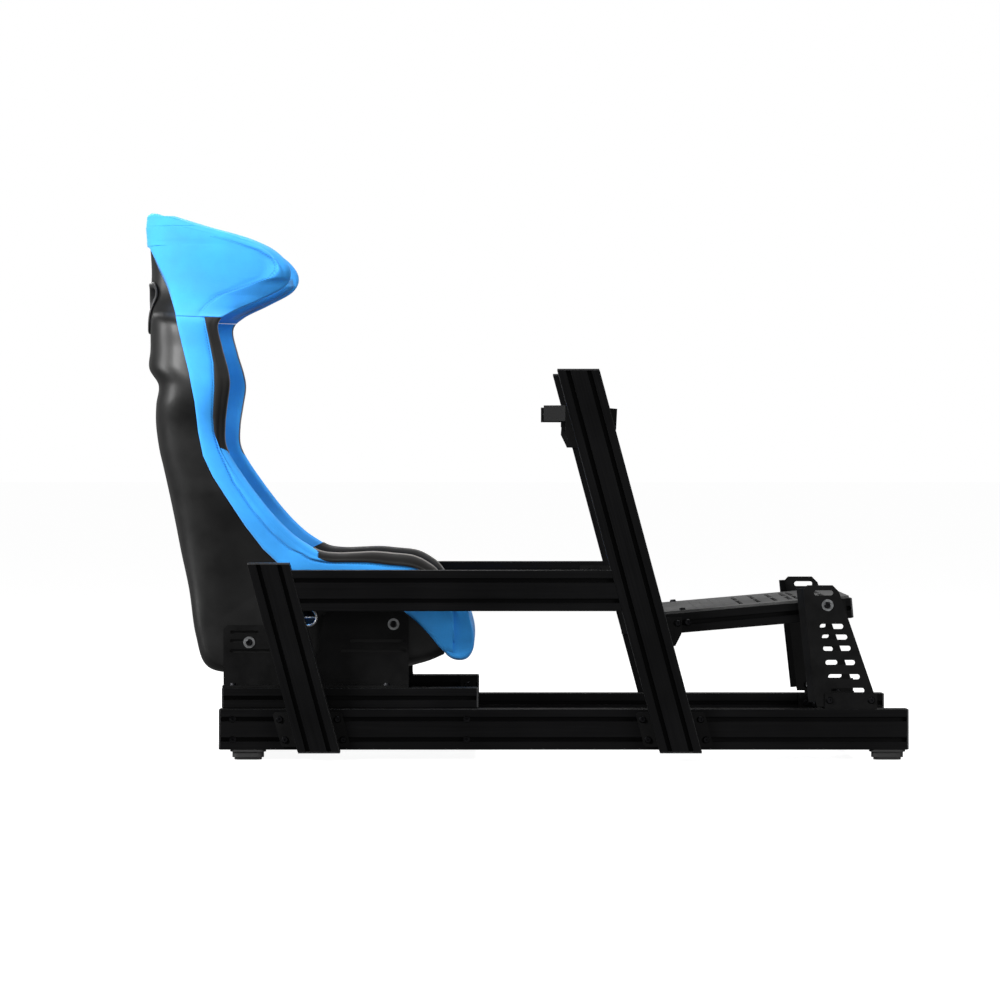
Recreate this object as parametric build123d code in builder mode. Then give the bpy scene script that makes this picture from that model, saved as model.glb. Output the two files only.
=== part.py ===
"""Sim-racing cockpit: a halo bucket seat on a frame of T-slot extrusions, with a wheel mount and a pedal deck.

Millimetres. +X points the way the driver faces, +Y to the driver's left, +Z up. The origin is on the floor, at the
middle of the overall length and width.
"""

import os
from math import cos, radians, sin, tan

from build123d import *

os.makedirs("parts", exist_ok=True)

# ---- driving dimensions ------------------------------------------------------------------------------
MODULE = 40.0  # side of one extrusion module
RAIL_LENGTH = 1350.0
RAIL_FRONT = 760.0
RAIL_REAR = RAIL_FRONT - RAIL_LENGTH
RAIL_OUTER = 290.0  # outer faces of the base rails, from the middle plane
RAIL_INNER = RAIL_OUTER - MODULE
RAIL_MIDDLE = RAIL_OUTER - MODULE / 2
FOOT_HEIGHT = 20.0
RAIL_TOP = FOOT_HEIGHT + 2 * MODULE
UPPER_SLOT = RAIL_TOP - MODULE / 2
LOWER_SLOT = FOOT_HEIGHT + MODULE / 2

JOINT_PLATE = 5.0  # plates between the base rails and the uprights
UPRIGHT_INNER = RAIL_OUTER + JOINT_PLATE
UPRIGHT_OUTER = UPRIGHT_INNER + MODULE
UPRIGHT_MIDDLE = (UPRIGHT_INNER + UPRIGHT_OUTER) / 2
LEAN = 15.0  # uprights lean back by this many degrees
CAP = 3.0  # thickness of the plastic end caps
REAR_UPRIGHT_FOOT = -395.0  # where an upright's centre line crosses the rail's bottom
REAR_UPRIGHT_TOP = 388.0
FRONT_UPRIGHT_FOOT = 313.0
FRONT_UPRIGHT_TOP = 768.0
UPRIGHT_BOTTOM = 16.0
BEAM_BOTTOM = 294.0
BEAM_TOP = BEAM_BOTTOM + 2 * MODULE

SLOT_MOUTH = 8.2  # width of a T-slot's opening
SLOT_LIP = 4.5
SLOT_FLOOR = 12.25
SLOT_CAVITY = 20.0
CORE_RADIUS = 3.4

SEAT_RAIL_LENGTH = 500.0
SEAT_RAIL_REAR = -586.0
SEAT_RAIL_MIDDLE = 240.0
SEAT_RAIL_TOP = RAIL_TOP + MODULE
CROSS_MEMBERS = (SEAT_RAIL_REAR + MODULE / 2, SEAT_RAIL_REAR + SEAT_RAIL_LENGTH - MODULE / 2)
FRONT_CROSS_MEMBER = 640.0

BRACKET_SHEET = 4.0
BRACKET_INNER = 216.0  # inner face of the seat's side brackets
BRACKET_REAR = -588.0
BRACKET_FRONT = -221.0
SLIDE_GAP = 0.2  # air between a sliding foot and the extrusion under it
SEAT_BOLTS = ((-537.0, 228.0), (-251.0, 264.0))
BRACKET_FOOT_BOLTS = (-568.0, -264.0)

SHELL = 6.0  # thickness of the seat shell
FOAM_GAP = 2.5  # air between the shell and the foam solids
CUSHION_HALF = 190.0  # half the seat cushion's width
FRONT_ROLL_HALF = 204.0

DECK_PIVOT = (309.0, 267.0)  # rear bolts of the pedal deck
DECK_TILT = 5.0
DECK_OUTER = 245.0  # outer faces of the deck's side rails
DECK_REACH = (-55.0, 346.0)  # ends of the side rails, along the deck, from the pivot
DECK_SHEET = 4.0
SIDE_PLATE_INNER = 278.0
SIDE_PLATE_OUTER = 282.0
SIDE_PLATE_BOLT = (604.0, 304.0)

ARM_SHEET = 5.0
ARM_OUTER = UPRIGHT_INNER - 0.3
MOUNT_PIVOT = (150.0, 662.0)
MOUNT_CLAMP_ARM = 34.0  # from the wheel mount's pivot back to its clamp stud
MOUNT_TILT = 12.0
MOUNT_PLATE_Z = 681.0

BOLT = 4.0  # radius of every M8 shank
BOLT_HOLE = 4.1
HEAD = (7.0, 4.4)  # radius and height of a button head
WASHER = (11.5, 1.6)
SIDES = ((1, "left"), (-1, "right"))

LEAN_AXIS = Vector(-sin(radians(LEAN)), 0, cos(radians(LEAN)))
LEAN_WIDTH = Vector(cos(radians(LEAN)), 0, sin(radians(LEAN)))
DECK_AXIS = Vector(cos(radians(DECK_TILT)), 0, sin(radians(DECK_TILT)))
DECK_UP = Vector(-sin(radians(DECK_TILT)), 0, cos(radians(DECK_TILT)))


def save(builder, label):
    """Labels a finished piece and writes it as parts/LABEL.step."""
    builder.part.label = label
    export_step(builder.part, f"parts/{label}.step")


def t_slot_section(modules):
    """Section of an extrusion of one or more 40 mm modules, long side along local X, a T-slot in every face."""
    half = MODULE / 2
    mouth = SLOT_MOUTH / 2
    cavity = SLOT_CAVITY / 2
    slot = [(-mouth - 0.7, 0.1), (-mouth, -0.8), (-mouth, -SLOT_LIP), (-cavity, -SLOT_LIP), (-cavity, -6.5)]
    slot += [(-5.0, -SLOT_FLOOR), (5.0, -SLOT_FLOOR)] + [(-x, y) for x, y in reversed(slot)]
    middles = [(i - (modules - 1) / 2) * MODULE for i in range(modules)]
    mouths = [Location((x, side * half, 0), (0, 0, 0 if side > 0 else 180)) for x in middles for side in (1, -1)]
    mouths += [Location((side * modules * half, 0, 0), (0, 0, -90 * side)) for side in (1, -1)]
    with BuildSketch() as section:
        RectangleRounded(modules * MODULE, MODULE, 1.5)
        with Locations(*mouths):
            Polygon(*slot, align=None, mode=Mode.SUBTRACT)
        with Locations(*[(x, 0) for x in middles]):
            Circle(CORE_RADIUS, mode=Mode.SUBTRACT)
        if modules > 1:
            RectangleRounded(12, 20, 2, mode=Mode.SUBTRACT)
    return section.sketch


SINGLE = t_slot_section(1)
DOUBLE = t_slot_section(2)


BASE = (Align.CENTER, Align.CENTER, Align.MIN)
TOP = (Align.CENTER, Align.CENTER, Align.MAX)


def fastener(origin, outward, grip, washer=False):
    """Adds a button-head screw: the head stands on origin, the shank goes grip mm the other way."""
    radius, height = HEAD
    lift = WASHER[1] if washer else 0
    seat = Plane(origin=origin, z_dir=outward)
    with Locations(seat):
        if washer:
            Cylinder(*WASHER, align=BASE)
        Cylinder(BOLT, grip, align=TOP)
    with Locations(seat.offset(lift)):
        Cone(radius, radius * 0.72, height, align=BASE)
    with BuildSketch(seat.offset(lift + height)) as socket:
        RegularPolygon(2.9, 6)
    extrude(socket.sketch, amount=-2.5, mode=Mode.SUBTRACT)


def countersunk(origin, outward, grip):
    """Adds a countersunk screw, flush with origin, whose shank ends grip mm below it."""
    face = Plane(origin=origin, z_dir=outward)
    with Locations(face.offset(-0.1)):
        Cone(BOLT, 8.0, 3.6, align=TOP)
    with Locations(face.offset(-3.7)):
        Cylinder(BOLT, grip - 3.7, align=TOP)


def countersunk_hole(origin, outward, depth):
    """Cuts the matching hole for countersunk()."""
    face = Plane(origin=origin, z_dir=outward)
    with Locations(face):
        Cylinder(BOLT_HOLE, depth, align=TOP, mode=Mode.SUBTRACT)
        Cone(BOLT_HOLE, 8.2, 3.8, align=TOP, mode=Mode.SUBTRACT)


def t_nut(mouth, outward, along):
    """Adds a T-nut in a slot whose mouth is at that point: outward leaves the slot, along runs with it."""
    with Locations(Plane(origin=mouth, x_dir=along, z_dir=outward).offset(-SLOT_LIP - 0.3)):
        Box(18, 13, 4.6, align=TOP)
        Cylinder(BOLT_HOLE, 6, align=TOP, mode=Mode.SUBTRACT)


def hex_nut(origin, outward):
    """Adds an M8 nut that sits on origin."""
    face = Plane(origin=origin, z_dir=outward)
    with BuildSketch(face) as outline:
        RegularPolygon(7.4, 6)
        Circle(BOLT_HOLE, mode=Mode.SUBTRACT)
    extrude(outline.sketch, amount=6.5)


def holes(points, outward, depth, radius=BOLT_HOLE):
    """Drills a plate at each point, inwards from the face that looks outward."""
    for point in points:
        with Locations(Plane(origin=point, z_dir=outward)):
            Cylinder(radius, depth, align=TOP, mode=Mode.SUBTRACT)


def side_sheet(outline, inner, outer, side):
    """Adds an upright plate, drawn as X and Z, between two distances from the middle plane."""
    with BuildSketch(Plane.XZ.offset(-side * inner)) as profile:
        with BuildLine():
            Polyline(*outline, close=True)
        make_face()
    extrude(profile.sketch, amount=-side * (outer - inner))


def side_slot(centre, length, width, inner, outer, side, turn=0.0):
    """Cuts a straight slot through a plate drawn by side_sheet()."""
    with BuildSketch(Plane.XZ.offset(-side * (inner - 1))) as profile:
        with Locations(centre):
            SlotOverall(length, width, rotation=turn)
    extrude(profile.sketch, amount=-side * (outer - inner + 2), mode=Mode.SUBTRACT)


def angle_bracket(corner, leg_a, leg_b, length, leg=36.0, sheet=4.0):
    """Adds an angle of two square legs along unit directions leg_a and leg_b from the outside corner."""
    a = Vector(*leg_a)
    across = a.cross(Vector(*leg_b))
    with BuildSketch(Plane(Vector(*corner) - across * (length / 2), x_dir=a, z_dir=across)) as profile:
        with BuildLine():
            Polyline((0, 0), (leg, 0), (leg, sheet), (sheet, sheet), (sheet, leg), (0, leg), close=True)
        make_face()
    extrude(profile.sketch, amount=length)


def on_upright(foot, side, along, across, y=UPRIGHT_INNER):
    """A point on an upright's side face: along its axis from the rail's bottom, and across its width."""
    start = Vector(foot, side * y, FOOT_HEIGHT)
    return start + LEAN_AXIS * along + LEAN_WIDTH * across


def on_deck(along, up, y):
    """A point of the pedal deck: along its slope from the rear bolts, and up square to it."""
    return Vector(DECK_PIVOT[0], y, DECK_PIVOT[1]) + DECK_AXIS * along + DECK_UP * up


# ---- base frame --------------------------------------------------------------------------------------
for side, hand in SIDES:
    with BuildPart() as base_rail:
        with BuildSketch(Plane((RAIL_REAR, side * RAIL_MIDDLE, FOOT_HEIGHT + MODULE), (0, 0, 1), (1, 0, 0))):
            add(DOUBLE)
        extrude(amount=RAIL_LENGTH)
        for x in CROSS_MEMBERS:
            for z in (UPPER_SLOT, LOWER_SLOT):
                mouth = (x, side * RAIL_OUTER, z)
                holes([mouth], (0, side, 0), SLOT_FLOOR, 7.2)
                holes([mouth], (0, side, 0), MODULE, CORE_RADIUS)
    save(base_rail, f"base_rail_{hand}")

with BuildPart() as cross_members:
    for x in (*CROSS_MEMBERS, FRONT_CROSS_MEMBER):
        with BuildSketch(Plane((x, -RAIL_INNER, FOOT_HEIGHT + MODULE), (0, 0, 1), (0, 1, 0))):
            add(DOUBLE)
        extrude(amount=2 * RAIL_INNER)
save(cross_members, "cross_members")

with BuildPart() as cross_member_bolts:
    for side, hand in SIDES:
        for x in CROSS_MEMBERS:
            for z in (UPPER_SLOT, LOWER_SLOT):
                floor = Plane(origin=(x, side * (RAIL_OUTER - SLOT_FLOOR), z), z_dir=(0, side, 0))
                with Locations(floor):
                    Cylinder(6.5, 7.5, align=BASE)
                    Cylinder(3.3, 55, align=TOP)
                with BuildSketch(floor.offset(7.5)) as socket:
                    RegularPolygon(3.2, 6)
                extrude(socket.sketch, amount=-4, mode=Mode.SUBTRACT)
save(cross_member_bolts, "cross_member_bolts")

FOOT_SPOTS = [(x, side * RAIL_MIDDLE) for x in (RAIL_REAR + 54, RAIL_FRONT - 38) for side, hand in SIDES]
with BuildPart() as rubber_feet:
    for x, y in FOOT_SPOTS:
        for low, high, grow in ((0, 5, 0), (5, 16, 4), (16, FOOT_HEIGHT, 8)):
            with BuildSketch(Plane((x, y, low))) as outline:
                RectangleRounded(54 + 2 * grow, 26 + 1.6 * grow, 12)
            extrude(outline.sketch, amount=high - low)
        holes([(x, y, FOOT_HEIGHT)], (0, 0, 1), FOOT_HEIGHT)
        with Locations((x, y, 0)):
            Cylinder(8, 8, align=BASE, mode=Mode.SUBTRACT)
save(rubber_feet, "rubber_feet")

# ---- uprights and side beams -------------------------------------------------------------------------
UPRIGHTS = (
    ("rear", REAR_UPRIGHT_FOOT, REAR_UPRIGHT_TOP, -5.0),
    ("front", FRONT_UPRIGHT_FOOT, FRONT_UPRIGHT_TOP, 0.0),
)
PLATE_BOLT_OFFSET = 57.0
PLATE_SCREWS = [(along, across) for along in (28, 58) for across in (-20, 20)]

for label, foot, top, shift in UPRIGHTS:
    for side, hand in SIDES:
        start = on_upright(foot, side, -40, 0, UPRIGHT_MIDDLE)
        with BuildPart() as upright:
            with BuildSketch(Plane(start, x_dir=LEAN_WIDTH, z_dir=LEAN_AXIS)):
                add(DOUBLE)
            extrude(amount=(top + 60) / cos(radians(LEAN)))
            split(bisect_by=Plane.XY.offset(UPRIGHT_BOTTOM + CAP), keep=Keep.TOP)
            split(bisect_by=Plane.XY.offset(top - CAP), keep=Keep.BOTTOM)
        save(upright, f"{label}_upright_{hand}")

for side, hand in SIDES:
    with BuildPart() as side_beam:
        with BuildSketch(Plane((-700, side * UPRIGHT_MIDDLE, BEAM_BOTTOM + MODULE), (0, 0, 1), (1, 0, 0))):
            add(DOUBLE)
        extrude(amount=1200)
        ends = ((REAR_UPRIGHT_FOOT, MODULE, Keep.TOP), (FRONT_UPRIGHT_FOOT, -MODULE, Keep.BOTTOM))
        for foot, across, kept in ends:
            mitre = Plane(on_upright(foot, side, 0, across), z_dir=LEAN_WIDTH)
            split(bisect_by=mitre, keep=kept)
    save(side_beam, f"side_beam_{hand}")

PLATE_BOLTS = [(foot + shift + offset - (z - FOOT_HEIGHT) * tan(radians(LEAN)), z)
               for label, foot, top, shift in UPRIGHTS
               for z in (UPPER_SLOT, LOWER_SLOT)
               for offset in (-PLATE_BOLT_OFFSET, PLATE_BOLT_OFFSET)]
with BuildPart() as foot_plates:
    for side, hand in SIDES:
        for label, foot, top, shift in UPRIGHTS:
            edges = ((shift - 68, 26), (shift + 68, 26), (shift + 68, 94), (shift - 68, 94))
            outline = [(foot + x - (z - FOOT_HEIGHT) * tan(radians(LEAN)), z) for x, z in edges]
            side_sheet(outline, RAIL_OUTER, UPRIGHT_INNER, side)
            for along, across in PLATE_SCREWS:
                countersunk_hole(on_upright(foot, side, along, across, RAIL_OUTER), (0, -side, 0), JOINT_PLATE)
        holes([(x, side * UPRIGHT_INNER, z) for x, z in PLATE_BOLTS], (0, side, 0), JOINT_PLATE)
    fillet(foot_plates.edges().filter_by(Axis.Y).filter_by(GeomType.LINE), 6)
save(foot_plates, "foot_plates")

with BuildPart() as upright_screws:
    for label, foot, top, shift in UPRIGHTS:
        for side, hand in SIDES:
            for along, across in PLATE_SCREWS:
                countersunk(on_upright(foot, side, along, across, RAIL_OUTER), (0, -side, 0), 15)
save(upright_screws, "upright_screws")

BEAM_JOINTS = ((REAR_UPRIGHT_FOOT, 1), (FRONT_UPRIGHT_FOOT, -1))
BEAM_MIDDLE = BEAM_BOTTOM + MODULE


def beam_joint_spots(foot, way, side):
    """Screw places of one beam joint plate: four on the beam, two on the upright."""
    centre = foot - (BEAM_MIDDLE - FOOT_HEIGHT) * tan(radians(LEAN))
    reach = (BEAM_MIDDLE - FOOT_HEIGHT) / cos(radians(LEAN))
    spots = [Vector(centre + way * x, side * RAIL_OUTER, BEAM_MIDDLE + z) for x in (60, 84) for z in (-20, 20)]
    return spots + [on_upright(foot, side, reach + along, way * 20, RAIL_OUTER) for along in (-18, 18)]


with BuildPart() as beam_joint_plates:
    for foot, way in BEAM_JOINTS:
        for side, hand in SIDES:
            centre = foot - (BEAM_MIDDLE - FOOT_HEIGHT) * tan(radians(LEAN))
            outline = [(centre + way * x - z * tan(radians(LEAN)), BEAM_MIDDLE + z)
                       for x, z in ((-34, -32), (95, -32), (95, 32), (-34, 32))]
            side_sheet(outline, RAIL_OUTER, UPRIGHT_INNER, side)
            holes(beam_joint_spots(foot, way, side), (0, -side, 0), JOINT_PLATE)
    fillet(beam_joint_plates.edges().filter_by(Axis.Y).filter_by(GeomType.LINE), 6)
save(beam_joint_plates, "beam_joint_plates")

# ---- seat rails --------------------------------------------------------------------------------------
for side, hand in SIDES:
    with BuildPart() as seat_rail:
        rear_end = (SEAT_RAIL_REAR, side * SEAT_RAIL_MIDDLE, RAIL_TOP + MODULE / 2)
        with BuildSketch(Plane(rear_end, (0, 0, 1), (1, 0, 0))):
            add(SINGLE)
        extrude(amount=SEAT_RAIL_LENGTH)
    save(seat_rail, f"seat_rail_{hand}")

# Angles stand on the cross-members' top slots and hold the seat rails; others hold the front cross-member.
SEAT_ANGLE_FACE = SEAT_RAIL_MIDDLE - MODULE / 2
ANGLE_HOLE = 20.0
ANGLE_SPOTS = [((x, side * SEAT_ANGLE_FACE, RAIL_TOP), (0, -side, 0), (0, 0, 1))
               for side, hand in SIDES for x in CROSS_MEMBERS]
for side, hand in SIDES:
    for step in (-1, 1):
        corner = (FRONT_CROSS_MEMBER + step * MODULE / 2, side * RAIL_INNER, UPPER_SLOT)
        ANGLE_SPOTS.append((corner, (step, 0, 0), (0, -side, 0)))
ANGLE_SCREWS = [(Vector(*corner) + Vector(*leg) * ANGLE_HOLE + Vector(*normal) * 4, normal)
                for corner, leg_a, leg_b in ANGLE_SPOTS for leg, normal in ((leg_a, leg_b), (leg_b, leg_a))]
with BuildPart() as frame_angles:
    for corner, leg_a, leg_b in ANGLE_SPOTS:
        angle_bracket(corner, leg_a, leg_b, 32)
    for point, normal in ANGLE_SCREWS:
        holes([point], normal, 4)
save(frame_angles, "frame_angles")

# ---- fasteners and caps of the frame -----------------------------------------------------------------
FRAME_NUT_SPOTS = [((x, y, FOOT_HEIGHT), (0, 0, -1), (1, 0, 0)) for x, y in FOOT_SPOTS]
for side, hand in SIDES:
    FRAME_NUT_SPOTS += [((x, side * RAIL_OUTER, z), (0, side, 0), (1, 0, 0)) for x, z in PLATE_BOLTS]
    for label, foot, top, shift in UPRIGHTS:
        FRAME_NUT_SPOTS += [(on_upright(foot, side, a, u), (0, -side, 0), LEAN_AXIS) for a, u in PLATE_SCREWS]

with BuildPart() as frame_bolts:
    for x, y in FOOT_SPOTS:
        fastener((x, y, 8), (0, 0, -1), 21)
    for point, normal in ANGLE_SCREWS:
        fastener(point, normal, 13.5)
    for side, hand in SIDES:
        for x, z in PLATE_BOLTS:
            fastener((x, side * UPRIGHT_INNER, z), (0, side, 0), 14.5)
        for foot, way in BEAM_JOINTS:
            for spot in beam_joint_spots(foot, way, side):
                fastener(spot, (0, -side, 0), 14.5)
save(frame_bolts, "frame_bolts")

with BuildPart() as frame_t_nuts:
    for mouth, outward, along in FRAME_NUT_SPOTS:
        t_nut(mouth, outward, along)
save(frame_t_nuts, "frame_t_nuts")

with BuildPart() as double_end_caps:
    for label, foot, top, shift in UPRIGHTS:
        for side, hand in SIDES:
            for z in (UPRIGHT_BOTTOM, top - CAP):
                centre = foot - (z + CAP / 2 - FOOT_HEIGHT) * tan(radians(LEAN))
                with Locations((centre, side * UPRIGHT_MIDDLE, z)):
                    Box(2 * MODULE / cos(radians(LEAN)) - 1, MODULE - 0.6, CAP, align=BASE)
    fillet(double_end_caps.edges().filter_by(Axis.Z), 2)
    for side, hand in SIDES:
        for x, forward in ((RAIL_REAR, -1), (RAIL_FRONT, 1)):
            end = Plane((x, side * RAIL_MIDDLE, FOOT_HEIGHT + MODULE), (0, 0, 1), (forward, 0, 0))
            with BuildSketch(end) as outline:
                RectangleRounded(2 * MODULE - 0.6, MODULE - 0.6, 2)
            extrude(outline.sketch, amount=CAP, taper=12)
save(double_end_caps, "double_end_caps")

# ---- seat --------------------------------------------------------------------------------------------
# The seat is a run of U-shaped sections. Each row gives the back of a section, its front edge and its half-width
# there, then how square the section is: 0 for the rounded back, 1 for the boxy base.
SECTIONS = [
    (-746, 1076, -692, 1077, 134, 0.0),
    (-748, 1055, -622, 1055, 156, 0.0),
    (-746, 1030, -540, 1031, 174, 0.0),
    (-743, 1002, -486, 1004, 186, 0.0),
    (-741, 966, -458, 968, 192, 0.0),
    (-742, 934, -468, 936, 196, 0.0),
    (-743, 910, -518, 908, 206, 0.0),
    (-742, 886, -574, 882, 232, 0.0),
    (-741, 864, -598, 858, 260, 0.0),
    (-740, 812, -589, 810, 272, 0.0),
    (-742, 772, -577, 768, 284, 0.0),
    (-723, 738, -573, 738, 290, 0.0),
    (-728, 700, -578, 700, 283, 0.0),
    (-729, 660, -583, 660, 268, 0.0),
    (-723, 612, -582, 619, 260, 0.0),
    (-714, 572, -564, 583, 258, 0.0),
    (-703, 522, -527, 530, 256, 0.0),
    (-690, 462, -489, 481, 254, 0.2),
    (-678, 405, -452, 443, 250, 0.5),
    (-661, 330, -422, 421, 247, 0.8),
    (-647, 240, -396, 407, 244, 1.0),
    (-622, 176, -362, 403, 240, 1.0),
    (-545, 163, -325, 404, 238, 1.0),
    (-440, 161, -290, 405, 235, 1.0),
    (-340, 163, -255, 402, 232, 1.0),
    (-260, 170, -212, 397, 227, 1.0),
    (-190, 186, -180, 382, 218, 1.0),
    (-150, 202, -160, 364, 212, 1.0),
]
WALL = 213.5  # outer half-width of the flat walls that the side brackets bolt to
# A shoulder-belt slot: its middle from the centre plane, its height, its width and its length.
SHOULDER_SLOT = (107.0, 893.0, 92.0, 74.0)
LAP_SLOT = (-440.0, 277.0, 70.0, 34.0)  # X, height, length and width of a lap-belt slot


def section_plane(row):
    """Plane of one seat section: local X is the seat's left, local Y runs from its back to its front edge."""
    back = Vector(row[0], 0, row[1])
    reach = (Vector(row[2], 0, row[3]) - back).normalized()
    return Plane(back, x_dir=(0, 1, 0), z_dir=Vector(0, 1, 0).cross(reach))


def section_depth(row):
    """Distance from the back of a section to its front edge."""
    return (Vector(row[2], 0, row[3]) - Vector(row[0], 0, row[1])).length


def wall_points(row, inset=0.0):
    """Right-hand half of a section's outline from its flat back to its front edge, inset towards the driver."""
    depth, half, square = section_depth(row), row[4], row[5]
    shares = ((0.50, 0), (0.80, 0.10), (0.94, 0.34), (0.985, 0.66))
    rounded = [(across * half, along * depth) for across, along in shares]
    boxy = ((168, 0), (204, 11), (WALL, 40), (WALL, 0.55 * depth))
    points = [(r[0] * (1 - square) + b[0] * square, r[1] * (1 - square) + b[1] * square)
              for r, b in zip(rounded, boxy)]
    points.append((half, depth))
    shifts = ((0.25, 1), (0.8, 0.7), (1, 0.2), (1, 0), (1, 0))
    return [(x - inset * a, y + inset * b) for (x, y), (a, b) in zip(points, shifts)]


def sections_loft(rows, outline, mode=Mode.ADD):
    """Lofts straight between the rows' sections; outline(row) gives the closed polygon of one section."""
    faces = []
    for row in rows:
        with BuildSketch(section_plane(row)) as section:
            with BuildLine():
                Polyline(*outline(row), close=True)
            make_face()
        faces.append(section.sketch.faces()[0])
    loft(faces, ruled=True, mode=mode)


def outer_outline(row):
    """The whole U, closed across its front."""
    right = wall_points(row)
    return right + [(-x, y) for x, y in reversed(right)]


def inner_outline(row):
    """The space inside the shell, running on past the front edge."""
    right = wall_points(row, SHELL)
    right[-1] = (right[-1][0], right[-1][1] + 8)
    return right + [(-x, y) for x, y in reversed(right)]


first, last = SECTIONS[0], SECTIONS[-1]
ABOVE = (first[0], first[1] + 8, first[2], first[3] + 8, first[4], first[5])
BEYOND = (last[0] + 8, last[1], last[2] + 8, last[3], last[4], last[5])
with BuildPart() as seat_shell:
    sections_loft(SECTIONS, outer_outline)
    sections_loft([ABOVE, *SECTIONS, BEYOND], inner_outline, Mode.SUBTRACT)
    for side, hand in SIDES:
        with BuildSketch(Plane.YZ.offset(-770)) as slot:
            with Locations((side * SHOULDER_SLOT[0], SHOULDER_SLOT[1])):
                RectangleRounded(SHOULDER_SLOT[2] + 17, SHOULDER_SLOT[3] + 17, 37.5)
        extrude(slot.sketch, amount=60, mode=Mode.SUBTRACT)
        side_slot(LAP_SLOT[:2], LAP_SLOT[2], LAP_SLOT[3], 195, 225, side)
        holes([(x, side * 225, z) for x, z in SEAT_BOLTS], (0, side, 0), 30)
save(seat_shell, "seat_shell")

with BuildPart() as belt_slot_trims:
    for side, hand in SIDES:
        with BuildSketch(Plane.YZ.offset(-756)) as ring:
            with Locations((side * SHOULDER_SLOT[0], SHOULDER_SLOT[1])):
                RectangleRounded(SHOULDER_SLOT[2] + 16, SHOULDER_SLOT[3] + 16, 37)
                RectangleRounded(SHOULDER_SLOT[2], SHOULDER_SLOT[3], 29, mode=Mode.SUBTRACT)
        extrude(ring.sketch, amount=34)
save(belt_slot_trims, "belt_slot_trims")


def pad(runs, outlines, label):
    """Lofts foam pads along runs of sections and saves them as one node."""
    with BuildPart() as foam:
        for rows, outline in zip(runs, outlines):
            sections_loft(rows, outline)
    save(foam, label)


def middle_pad(thickness, share):
    """A pad on the flat of the back, as a rule for its sections."""
    def outline(row):
        half = share * row[4]
        low, high = SHELL + FOAM_GAP, SHELL + FOAM_GAP + thickness
        left_half = [(0, high), (8 - half, high), (-half, low + 3), (12 - half, low), (0, low)]
        return left_half + [(-x, y) for x, y in reversed(left_half[1:-1])]
    return outline


def full_pad(thickness):
    """A pad over the back and into its corners, as a rule for its sections."""
    def outline(row):
        (flat, low), (corner, side) = wall_points(row, SHELL + FOAM_GAP)[:2]
        high = low + thickness
        left_half = [(0, high), (4 - corner, high), (-corner, side + 1), (-flat, low), (0, low)]
        return left_half + [(-x, y) for x, y in reversed(left_half[1:-1])]
    return outline


def side_pad(side, start, stop, thickness, gap=FOAM_GAP):
    """A bolster along one side wall between two shares of the section's depth, as a rule for its sections."""
    def outline(row):
        depth = section_depth(row)
        wall = wall_points(row, SHELL + gap)
        low_wall = wall[2][0] + (wall[3][0] - wall[2][0]) * 0.3
        slim = thickness * (1 - 0.25 * row[5])
        low, middle, high = start * depth, 0.66 * depth, stop * depth
        corners = ((low_wall, low), (wall[3][0], middle), (wall[4][0], high))
        inner = ((wall[4][0] - slim * 0.75, high), (wall[3][0] - slim, middle), (low_wall - slim, low))
        return [(side * x, y) for x, y in (*corners, *inner)]
    return outline


pad([SECTIONS[1:5]], [middle_pad(30, 0.46)], "headrest_cushion")
pad([SECTIONS[11:19]], [full_pad(26)], "back_cushion")
for side, hand in SIDES:
    pad([SECTIONS[8:18]], [side_pad(side, 0.40, 0.97, 26)], f"torso_bolster_{hand}")
pad([SECTIONS[2:6]] * 2, [side_pad(side, 0.36, 0.97, 24) for side, hand in SIDES], "head_wing_pads")
pad([SECTIONS[22:27]] * 2, [side_pad(side, 0.62, 0.96, 30, 5) for side, hand in SIDES], "thigh_bolsters")

with BuildPart() as seat_cushion:
    with BuildSketch(Plane.XZ.offset(-CUSHION_HALF)):
        with BuildLine():
            Polyline((-610, 203), (-545, 179), (-440, 177), (-340, 179), (-262, 186), (-190, 202), (-155, 216),
                     (-150, 262), (-165, 300), (-230, 300), (-330, 268), (-440, 246), (-560, 250), (-600, 268),
                     close=True)
        make_face()
    extrude(amount=2 * CUSHION_HALF)
    fillet(seat_cushion.edges().filter_by(Axis.Y).sort_by(Axis.Z)[-4:], 14)
save(seat_cushion, "seat_cushion")

with BuildPart() as front_roll:
    with BuildSketch(Plane.XZ.offset(-FRONT_ROLL_HALF)):
        with BuildLine():
            Polyline((-138, 190), (-118, 186), (-100, 196), (-93, 226), (-99, 264), (-112, 300), (-136, 306),
                     close=True)
        make_face()
    extrude(amount=2 * FRONT_ROLL_HALF)
    fillet(front_roll.edges().filter_by(Axis.Y), 5)
save(front_roll, "front_roll")

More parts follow.
